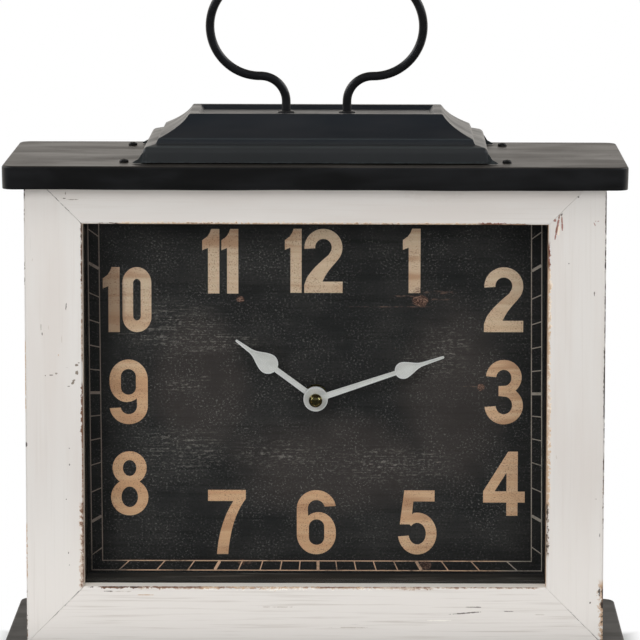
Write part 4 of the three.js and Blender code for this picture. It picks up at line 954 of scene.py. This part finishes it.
def makePaintFilms(finish):
    half = paintFilm["wide"] / 2 / math.sqrt(2)
    for label, (sideX, sideZ, first, last) in paintFilm["runs"].items():
        line = [(sideX * (opening["halfX"] + along + out),
                 opening["middle"] + sideZ * (opening["halfZ"] + along - out))
                for along, out in ((first, -half), (last, -half), (last, half), (first, half))]
        rings = [[(x, y, z) for x, z in line] for y in (paintFilm["front"], paintFilm["back"])]
        piece(f"paintFilm.{label}", skin(rings), finish)


boards = {
    "patterns": {"grain": ((240, 240, 7), 5, 0.6), "brush": ((620, 620, 12), 3, 0.55),
                 "nick": ((260, 260, 90), 4, 0.65), "flake": (300, 5, 0.62, 0.5), "cloud": (18, 3, 0.5)},
    "front": -39.4, "back": 49.4,
    "sides": (1, "case_left", "case_right"), "levels": (-1, "case_top", "case_bottom"),
}


def boardPaint(name):
    # thinner white paint on the case boards, with the grain of the wood showing and worn arrises
    made = Finish(f"whitePaint.{name}", paintTones)
    y = made.split(made.place)[1]
    grain, brush, nick, flake, cloud = made.patterns(boards["patterns"], boards[name][0])
    edge = (boards["back"] * mm - y).least(y - boards["front"] * mm)
    worn = ((flake - 0.5) * 0.006 + cloud.fade(0.5, 0.7, 0, 0.0016) - edge).fade(-0.0002, 0.0004)
    worn = worn.most(nick.fade(0.68, 0.7) * cloud.fade(0.4, 0.55))
    checks = grain.fade(0.64, 0.7) * cloud.fade(0.46, 0.6) * 0.6
    made.ground(cloud.fade(0.35, 0.7), "fresh", "aged")
    made.coat(brush.fade(0.5, 0.74, 0, 0.75), "streak")
    made.coat(worn, made.mix(flake.fade(0.45, 0.6), "bare", "brown"))
    made.coat(checks, "crack")
    return made.surface(0.62, (grain * 0.4 + brush * 0.3 - worn - checks, 0.4, 0.0004), specular=0.3)


lining = {
    "patterns": {"grain": ((9, 420, 420), 4, 0.6), "scuff": ((16, 330, 330), 4, 0.65), "fine": (800, 3, 0.6)},
    "wall": {"deep": "151312", "grain": "2B2724", "scuff": "5B5148"},
    # the bottom batten's upward face takes lighter tones than the walls: painted light, with dust in its
    # scuffs
    "floor": {"deep": "262523", "grain": "4C4A46", "scuff": "A39D94"},
}


def blackWood(name):
    made = Finish(f"blackLining.{name}", lining[name])
    grain, scuff, fine = made.patterns(lining["patterns"])
    made.ground(grain.fade(0.35, 0.7), "deep", "grain")
    made.coat(scuff.fade(0.58, 0.7, 0, 0.6), "scuff")
    bump = (grain * 0.6 + fine * 0.3, 0.5, 0.0003)
    return made.surface(grain.fade(0.3, 0.7, 0.5, 0.72), bump, specular=0.3)


dialPrint = {
    "ground": "252525", "worn": "343332", "wash": "48413E", "scratch": "686663", "speck": "8D8B88",
    "knot": "866A5C", "deepKnot": "412E27", "pale": "96918B", "deep": "1A1A1A",
    "backing": "6E5842", "fibre": "544231",
    "patterns": {
        "grain": ((11, 1, 380), 5, 0.62), "hair": ((42, 1, 1500), 3, 0.6), "cloud": ((20, 1, 34), 4, 0.6),
        "speck": ((820, 1, 1000), 2, 0.7), "dust": (60, 3, 0.6), "drift": (22, 3, 0.6),
        "dash": ((260, 1, 1300), 3, 0.7), "fleck": ((300, 1, 700), 3, 0.7),
    },
    # places and reaches
    "knots": [(55.6, 200.6, 5.2, 3.9), (-40.4, 201.3, 2.6, 2.0), (88.2, 154.1, 2.6, 2.2),
              (59.0, 57.4, 4.0, 3.4), (-39.8, 58.6, 2.4, 2.2)],
    "streaks": [(66, 205.2, 12, 1.0), (46, 203.0, 8, 0.7), (66, 201.4, 8, 0.6),
                (40, 197.4, 26, 0.35), (84, 154.4, 6, 0.6), (-38, 58.2, 4, 1.2)],
    "scuffs": [(-71, 155, 12, 5), (-59, 157.4, 3.2, 3.6), (-48, 178, 24, 6), (-92, 181, 18, 3),
               (-20, 118, 30, 10), (40, 112, 40, 12), (-70, 120, 26, 14), (70, 176, 14, 12),
               (-75, 185, 30, 18), (60, 165, 24, 8)],
    "washes": [(-62, 156, 32, 44), (72, 150, 36, 66), (10, 112, 70, 34)],
}


def dialGround():
    made = Finish("wornDialPrint", dialPrint)
    x, y, z = made.split(made.place)
    grain, hair, cloud, speck, dust, drift, dash, fleck = made.patterns(dialPrint["patterns"])

    def patches(name):
        return reduce(Flow.most, [made.near(x, z, *spot) for spot in dialPrint[name]])

    made.ground(cloud.fade(0.36, 0.7), "ground", "worn")
    made.coat(grain.fade(0.5, 0.74, 0, 0.4), "deep")
    made.coat(hair.fade(0.62, 0.74, 0, 0.28) * cloud.fade(0.4, 0.6), "scratch")
    made.coat(speck.fade(0.46, 0.36) * 0.6, "deep")
    made.coat((patches("washes") + (drift - 0.5) * 1.2).fade(0.1, 0.9, 0, 0.45), "wash")
    patchy = dust.fade(0.36, 0.56) * drift.fade(0.36, 0.6, 0.35, 1.0)
    made.coat(speck.fade(0.55, 0.68, 0, 0.5) * patchy, "speck")
    made.coat(dash.fade(0.6, 0.74, 0, 0.6) * patchy, "scratch")
    made.coat(patches("scuffs") * (fleck * 0.7 + hair * 0.5).fade(0.6, 0.78) * 0.66, "pale")
    streaky = (fleck * 0.6 + dash * 0.5).fade(0.5, 0.66) * 0.55
    for spot in dialPrint["streaks"]:
        made.coat(made.near(x, z, *spot).fade(0, 0.6) * streaky, "knot")
    for spot in dialPrint["knots"]:
        nearby = made.near(x, z, *spot)
        ring = (nearby * 5 + fleck * 22 + speck * 12).wave()
        made.coat((nearby * 1.3 + (fleck - 0.5) * 1.6).fade(0.3, 0.7),
                  made.mix(ring.fade(-0.4, 0.6), "knot", "deepKnot"))
    # painted shade: the print is darker towards the edges of the board, where the deep opening shades it
    far = abs(x).fade(0.095, 0.128).most(abs(z - opening["middle"] * mm).fade(0.075, 0.1))
    made.coat(far * 0.55, "deep")
    # bare board behind the print
    behind = (y - (dial["face"] + 0.1) * mm).fade(0, 0.0002)
    made.coat(behind, made.mix(fleck.fade(0.4, 0.62), "backing", "fibre"))
    bump = (grain * 0.5 + hair * 0.2, 0.2, 0.0002)
    return made.surface(grain.fade(0.3, 0.7, 0.62, 0.82), bump, specular=0.25)


numeralPrint = {
    "tan": "CAA686", "light": "D8BEA0", "pale": "CDBCA6", "brown": "AC8263", "speckle": "74503F",
    "orange": "CC9C72", "paintedWallShade": "8B6E57", "knot": "866A5C",
    "patterns": {"grain": ((16, 1, 420), 5, 0.6), "cloud": ((13, 1, 95), 3, 0.5),
                 "speckle": ((1100, 1, 1500), 2, 0.6), "patch": (75, 3, 0.6), "dot": (1500, 1, 0.5)},
    # places and reaches of a painted shade on the 1 of the 10, and of a knot
    "paintedWallShadeSpot": (-110, 199, 9, 26), "knotSpot": (56.8, 204.5, 6.5, 5.0),
}


def numeralInk():
    made = Finish("numeralWood", numeralPrint)
    x, _, z = made.split(made.place)
    grain, cloud, speckle, patch, dot = made.patterns(numeralPrint["patterns"])
    made.ground(grain.fade(0.36, 0.66), "tan", "light")
    made.coat((z - 0.16).fade(0.01, 0.05) * 0.5, "pale")
    made.coat((0.18 - z).fade(0, 0.03) * x.fade(-0.02, 0.1, 0.55, 0.25), "orange")
    made.coat(cloud.fade(0.5, 0.66, 0, 0.75), "brown")
    # painted shade: the 1 of the 10 is darker, where the opening's left wall shades it
    made.coat(made.near(x, z, *numeralPrint["paintedWallShadeSpot"]).fade(0, 0.5, 0, 0.6), "paintedWallShade")
    worn = speckle.fade(0.56, 0.64) * patch.fade(0.38, 0.52)
    made.coat(worn * 0.6, "speckle")
    made.coat(dot.fade(0.66, 0.72) * patch.fade(0.34, 0.54) * 0.7, "speckle")
    made.coat(made.near(x, z, *numeralPrint["knotSpot"]).fade(0.1, 0.7) * speckle.fade(0.4, 0.56), "knot")
    return made.surface(0.7, (grain * 0.5 - worn * 0.5, 0.35, 0.0002), specular=0.25)


trackPrint = {
    "left": "887B72", "right": "A89F94", "low": "DAB496", "dim": "5F554C",
    "patterns": {"wear": (60, 4, 0.6), "hair": (500, 3, 0.6)},
}


def trackInk():
    made = Finish("minuteTrackInk", trackPrint)
    x, _, z = made.split(made.place)
    wear, hair = made.patterns(trackPrint["patterns"])
    # painted shade: the track is darker on its left, where the opening's left wall shades it
    made.ground(x.fade(-0.09, 0.09), "left", "right")
    made.coat((0.0625 - z).fade(-0.001, 0.0012) * x.between(-0.108, -0.098, 0.09, 0.107), "low")
    made.coat((wear * 0.7 + hair * 0.4).fade(0.54, 0.78), "dim")
    return made.surface(0.72, (hair, 0.2, 0.0001), specular=0.25)


enamels = {
    "patterns": {"peel": (1300, 2, 0.5), "dent": ((9, 14, 14), 2, 0.4), "smear": ((18, 60, 60), 4, 0.6, 0.4),
                 "scratch": ((900, 60, 60), 3, 0.7), "mote": (620, 3, 0.7)},
    "all": {"smeared": "26272A", "dusty": "8A7F72", "mote": "77736E", "lowTo": None, "foldWearAndSheen": ()},
    # colour, lighter rubbed colour (also the painted highlight on folds), roughness, orange peel, dents, dust
    # on faces that look up
    "roof": {"tone": "121212", "rubbed": "2F2E2D", "rough": 0.4, "peel": 0.12, "dent": 0.03, "dust": 0.16},
    "plinth": {"tone": "1B1F24", "rubbed": "4A5456", "rough": 0.34, "peel": 0.1, "dent": 0.2, "dust": 0.02,
               "lowTone": "292B2C", "lowTo": (286, 290.5),
               # folds drawn as lighter lines, partly rubbed paint and partly painted highlight: height, half
               # width, strength
               "foldWearAndSheen": ((286.4, 0.6, 0.3), (290.1, 0.5, 0.25))},
    "base": {"tone": "191919", "rubbed": "3A3836", "rough": 0.5, "peel": 0.12, "dent": 0.2, "dust": 0.07},
    "wire": {"tone": "141415", "rubbed": "3C3C3D", "rough": 0.3, "peel": 0.08, "dent": 0.15, "dust": 0.035},
    "screw": {"tone": "121212", "rubbed": "55524E", "rough": 0.35, "peel": 0.1, "dent": 0.0, "dust": 0.07},
}


def blackEnamel(name):
    spec = {**enamels["all"], **enamels[name]}
    made = Finish(f"blackEnamel.{name}", spec)
    peel, dent, smear, scratch, mote = made.patterns(enamels["patterns"])
    facing, pointed = made.node("ShaderNodeNewGeometry", output=("Normal", "Pointiness"))
    up, z = made.split(facing)[2], made.split(made.place)[2]
    made.colour = tone(spec["tone"])
    if spec["lowTo"]:
        made.ground(z.fade(*[height * mm for height in spec["lowTo"]]), "lowTone", "tone")
    # lighter lines along the plinth's folds: rubbed paint and painted highlight
    for height, half, strength in spec["foldWearAndSheen"]:
        line = abs(z - height * mm).fade(half * 0.4 * mm, half * mm, strength, 0)
        made.coat(line * smear.fade(0.3, 0.6, 0.3, 1), "rubbed")
    made.coat(smear.fade(0.4, 0.7, 0, 0.35), "smeared")
    # lighter on the folds: paint worn thin there, and a painted highlight where they catch the light
    made.coat(pointed.fade(0.53, 0.6) * mote.fade(0.4, 0.62) * 0.3, "rubbed")
    made.coat(up.fade(0.5, 0.95) * smear.fade(0.25, 0.75, 0.5, 1) * spec["dust"], "dusty")
    made.coat(mote.fade(0.74, 0.78) * 0.5, "mote")
    rough = smear.fade(0.3, 0.75, spec["rough"] - 0.05, spec["rough"] + 0.12)
    return made.surface(rough + scratch.fade(0.6, 0.8, 0, 0.06), (dent, spec["dent"], 0.004),
                        (peel * 0.6 + scratch * 0.2, spec["peel"], 0.0002), specular=0.42)


handPaint = {
    "light": "D3D3D0", "grey": "BDBEBC", "rim": "EEEEF0", "stain": "837D74",
    "patterns": {"cloud": (170, 4, 0.6), "fine": (1500, 3, 0.6)},
}


def handPlate():
    made = Finish("satinHands", handPaint)
    cloud, fine = made.patterns(handPaint["patterns"])
    made.ground(cloud.fade(0.4, 0.7, 0, 0.6), "light", "grey")
    # painted highlight: the blade's raised rim is drawn lighter, as if it catches the light
    made.coat(made.node("ShaderNodeNewGeometry", output="Pointiness").fade(0.5, 0.6) * 0.9, "rim")
    made.coat(fine.fade(0.64, 0.72) * cloud.fade(0.5, 0.6) * 0.55, "stain")
    return made.surface(cloud.fade(0.3, 0.7, 0.42, 0.6), (fine * 0.5 + cloud * 0.5, 0.25, 0.00015), metal=0.1)


metals = {
    "patterns": {"cloud": (260, 4, 0.6), "fine": (1800, 2, 0.6)},
    "brass": {"light": "D6C88A", "dark": "9C8B4A", "spot": "4A4322", "rough": 0.1, "lines": (1, 900, 900)},
    "steel": {"light": "A9ABAE", "dark": "7D8083", "spot": "5A5148", "rough": 0.34, "lines": (30, 900, 900)},
    "copper": {"light": "B9703A", "dark": "7E4420", "spot": "4E2A15", "rough": 0.3, "lines": (3200, 60, 3200)},
}


def bareMetal(name):
    spec = metals[name]
    made = Finish(f"{name}Metal", spec)
    cloud, fine = made.patterns(metals["patterns"])
    lines = made.noise(spec["lines"], 3, 0.6)
    made.ground(cloud.fade(0.38, 0.68), "light", "dark")
    made.coat(fine.fade(0.66, 0.74) * 0.6, "spot")
    rough = lines.fade(0.3, 0.7, spec["rough"] - 0.06, spec["rough"] + 0.12)
    return made.surface(rough, (lines * 0.7 + fine * 0.2, 0.3, 0.0001), metal=1.0)


mouldings = {
    "patterns": {"cloud": (90, 4, 0.6), "flowLine": ((60, 60, 260), 2, 0.5)},
    "black": {"light": "202022", "dark": "161617", "dust": "4B4843", "rough": 0.46, "grain": 1500},
    "white": {"light": "E6E3DA", "dark": "D2CEC2", "dust": "9B958A", "rough": 0.4, "grain": 1200},
    "rubber": {"light": "1C1C1C", "dark": "121212", "dust": "55524D", "rough": 0.8, "grain": 1000},
}


def moulded(name):
    spec = mouldings[name]
    made = Finish(f"{name}Moulding", spec)
    cloud, flowLine = made.patterns(mouldings["patterns"])
    grain = made.noise(spec["grain"], 3, 0.6)
    made.ground(cloud.fade(0.35, 0.7), "light", "dark")
    made.coat(grain.fade(0.68, 0.76) * cloud.fade(0.4, 0.6) * 0.4, "dust")
    rough = flowLine.fade(0.3, 0.7, spec["rough"] - 0.05, spec["rough"] + 0.08)
    return made.surface(rough, (grain * 0.5 + flowLine * 0.2, 0.22, 0.00015))


backBoard = {
    "fibre": "8B6A49", "dark": "745639", "light": "A98A66", "rim": "4F3A27",
    "patterns": {"fibre": ((260, 260, 90), 6, 0.7, 1.2), "matted": (700, 4, 0.7, 0.8), "cloud": (12, 3, 0.5)},
    "halfX": 149.5, "halfZ": 124, "weave": 2600,
}


def hardboard():
    made = Finish("pressedHardboard", backBoard)
    x, _, z = made.split(made.place)
    fibre, matted, cloud = made.patterns(backBoard["patterns"])
    # the smooth side of the board carries a faint cross weave from the press
    weave = ((x * backBoard["weave"]).wave() * (z * backBoard["weave"]).wave()).fade(-0.6, 0.8)
    made.ground(fibre.fade(0.38, 0.66), "fibre", "dark")
    made.coat(matted.fade(0.56, 0.72, 0, 0.7), "light")
    made.coat(cloud.fade(0.45, 0.75, 0, 0.4), "dark")
    edge = (backBoard["halfX"] * mm - abs(x)).least(backBoard["halfZ"] * mm - abs(z - opening["middle"] * mm))
    made.coat((0.0016 + (matted - 0.5) * 0.003 - edge).fade(0, 0.0008) * 0.7, "rim")
    return made.surface(0.78, (fibre * 0.5 + matted * 0.4 + weave * 0.15, 0.45, 0.00025), specular=0.3)


glass = {
    "clear": (0.985, 0.99, 0.988, 1), "haze": "C9C9C4", "bend": 1.45, "gloss": 0.35,
    "patterns": {"film": (14, 4, 0.6), "dust": (900, 3, 0.7)},
}


def clearGlass():
    made = Finish("paneGlass")
    film, dust = made.patterns(glass["patterns"])
    clear = made.node("ShaderNodeBsdfTransparent", None, {"Color": glass["clear"]})
    gloss = made.node("ShaderNodeBsdfGlossy", None, {
        "Color": (1, 1, 1, 1), "Roughness": film.fade(0.35, 0.75, 0.02, 0.09)})
    edge = made.node("ShaderNodeFresnel", None, {"IOR": glass["bend"]}) * glass["gloss"]
    both = made.node("ShaderNodeMixShader", None, {0: edge, 1: clear, 2: gloss})
    haze = made.node("ShaderNodeBsdfDiffuse", None, {"Color": tone(glass["haze"])})
    return made.close(made.node("ShaderNodeMixShader", None, {
        0: dust.fade(0.76, 0.82, 0, 0.05) + film.fade(0.5, 0.8, 0, 0.003), 1: both, 2: haze}))


circuit = {"lacquer": "1F4A2C", "track": "3F7A4A", "fleck": "B9B7A8", "tracks": (1900, 1500, 700)}


def circuitLacquer():
    made = Finish("lacqueredBoard", circuit)
    x, _, z = made.split(made.place)
    upright, level, bend = circuit["tracks"]
    track = (x * upright).wave().most((z * level + (x * bend).wave() * 1.4).wave()).fade(0.9, 0.97)
    fleck = made.noise(900, 3, 0.6)
    made.ground(track, "lacquer", "track")
    made.coat(fleck.fade(0.66, 0.72) * 0.6, "fleck")
    return made.surface(0.32, (track * 0.5 + fleck * 0.2, 0.3, 0.0001))


cell = {
    "wrap": "3A5B86", "band": "C9A24A", "steel": "A6A8AB", "scuff": "2A2F38",
    "bandAt": (0.66, 0.665), "sleeve": (0.02, 0.024, 0.955, 0.958),  # shares of the length
}


def cellWrap():
    # a plain two-colour sleeve with bright metal at both ends
    made = Finish("cellSleeve", cell)
    low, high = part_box("battery")
    along = (made.split(made.place)[0] - low.x) / (high.x - low.x)
    scuff = made.noise(420, 4, 0.65)
    bright = 1 - along.between(*cell["sleeve"])
    made.ground(along.fade(*cell["bandAt"]), "wrap", "band")
    made.coat(scuff.fade(0.64, 0.74) * 0.5, "scuff")
    made.coat(bright, "steel")
    return made.surface(scuff.fade(0.3, 0.7, 0.24, 0.4), (scuff, 0.15, 0.0001), metal=bright * 0.9 + 0.1)


def cover(finish, *nodes):
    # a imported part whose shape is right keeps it, and gets this finish
    for name in nodes:
        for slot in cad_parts[name].material_slots:
            slot.link, slot.material = "OBJECT", finish


paints = {name: whitePaint(name) for name in railWear}
for name, paint in paints.items():
    cover(paint, name)
for name in ("sides", "levels"):
    cover(boardPaint(name), *boards[name][1:])
cover(blackWood("wall"), "batten_top", "batten_left", "batten_right")
# painted light: the bottom batten is a lighter copy of the walls' lining
cover(blackWood("floor"), "batten_bottom")
cover(dialGround(), "dial_board")
cover(hardboard(), "back_panel")
cover(clearGlass(), "glass_pane")
brass = bareMetal("brass")
cover(brass, "bush_nut", "bush_washer", "minute_arbor")
cover(bareMetal("steel"), "handle_strap", "battery_contact", "battery_spring", "motor_stator",
      *[f"{side}_screw_{i}" for side in ("base", "back") for i in (1, 2, 3, 4)])
cover(moulded("rubber"), *[f"foot_pad_{i}" for i in (1, 2, 3, 4)])
cover(moulded("black"), "movement_case", "movement_cover")
cover(moulded("white"), "motion_wheel", "hour_wheel", "setting_knob", "centre_wheel", "third_wheel",
      "fourth_wheel", "fifth_wheel", "motor_rotor")
cover(bareMetal("copper"), "motor_coil")
cover(circuitLacquer(), "circuit_board")
cover(cellWrap(), "battery")
say("finishes of the packed parts")

pressedTray("roof", blackEnamel("roof"))
pressedTray("base", blackEnamel("base"))
makePlinth(blackEnamel("plinth"))
makeHandle(blackEnamel("wire"))
makeRoofScrews(blackEnamel("screw"))
makePaintFilms(paints["rail_right"])
say("metalwork")
plate = handPlate()
makeHand("minute", plate)
makeHand("hour", plate)
makeCapNut(brass)
say("hands")
makeNumerals(numeralInk())
makeMinuteTrack(trackInk())
say("dial print")
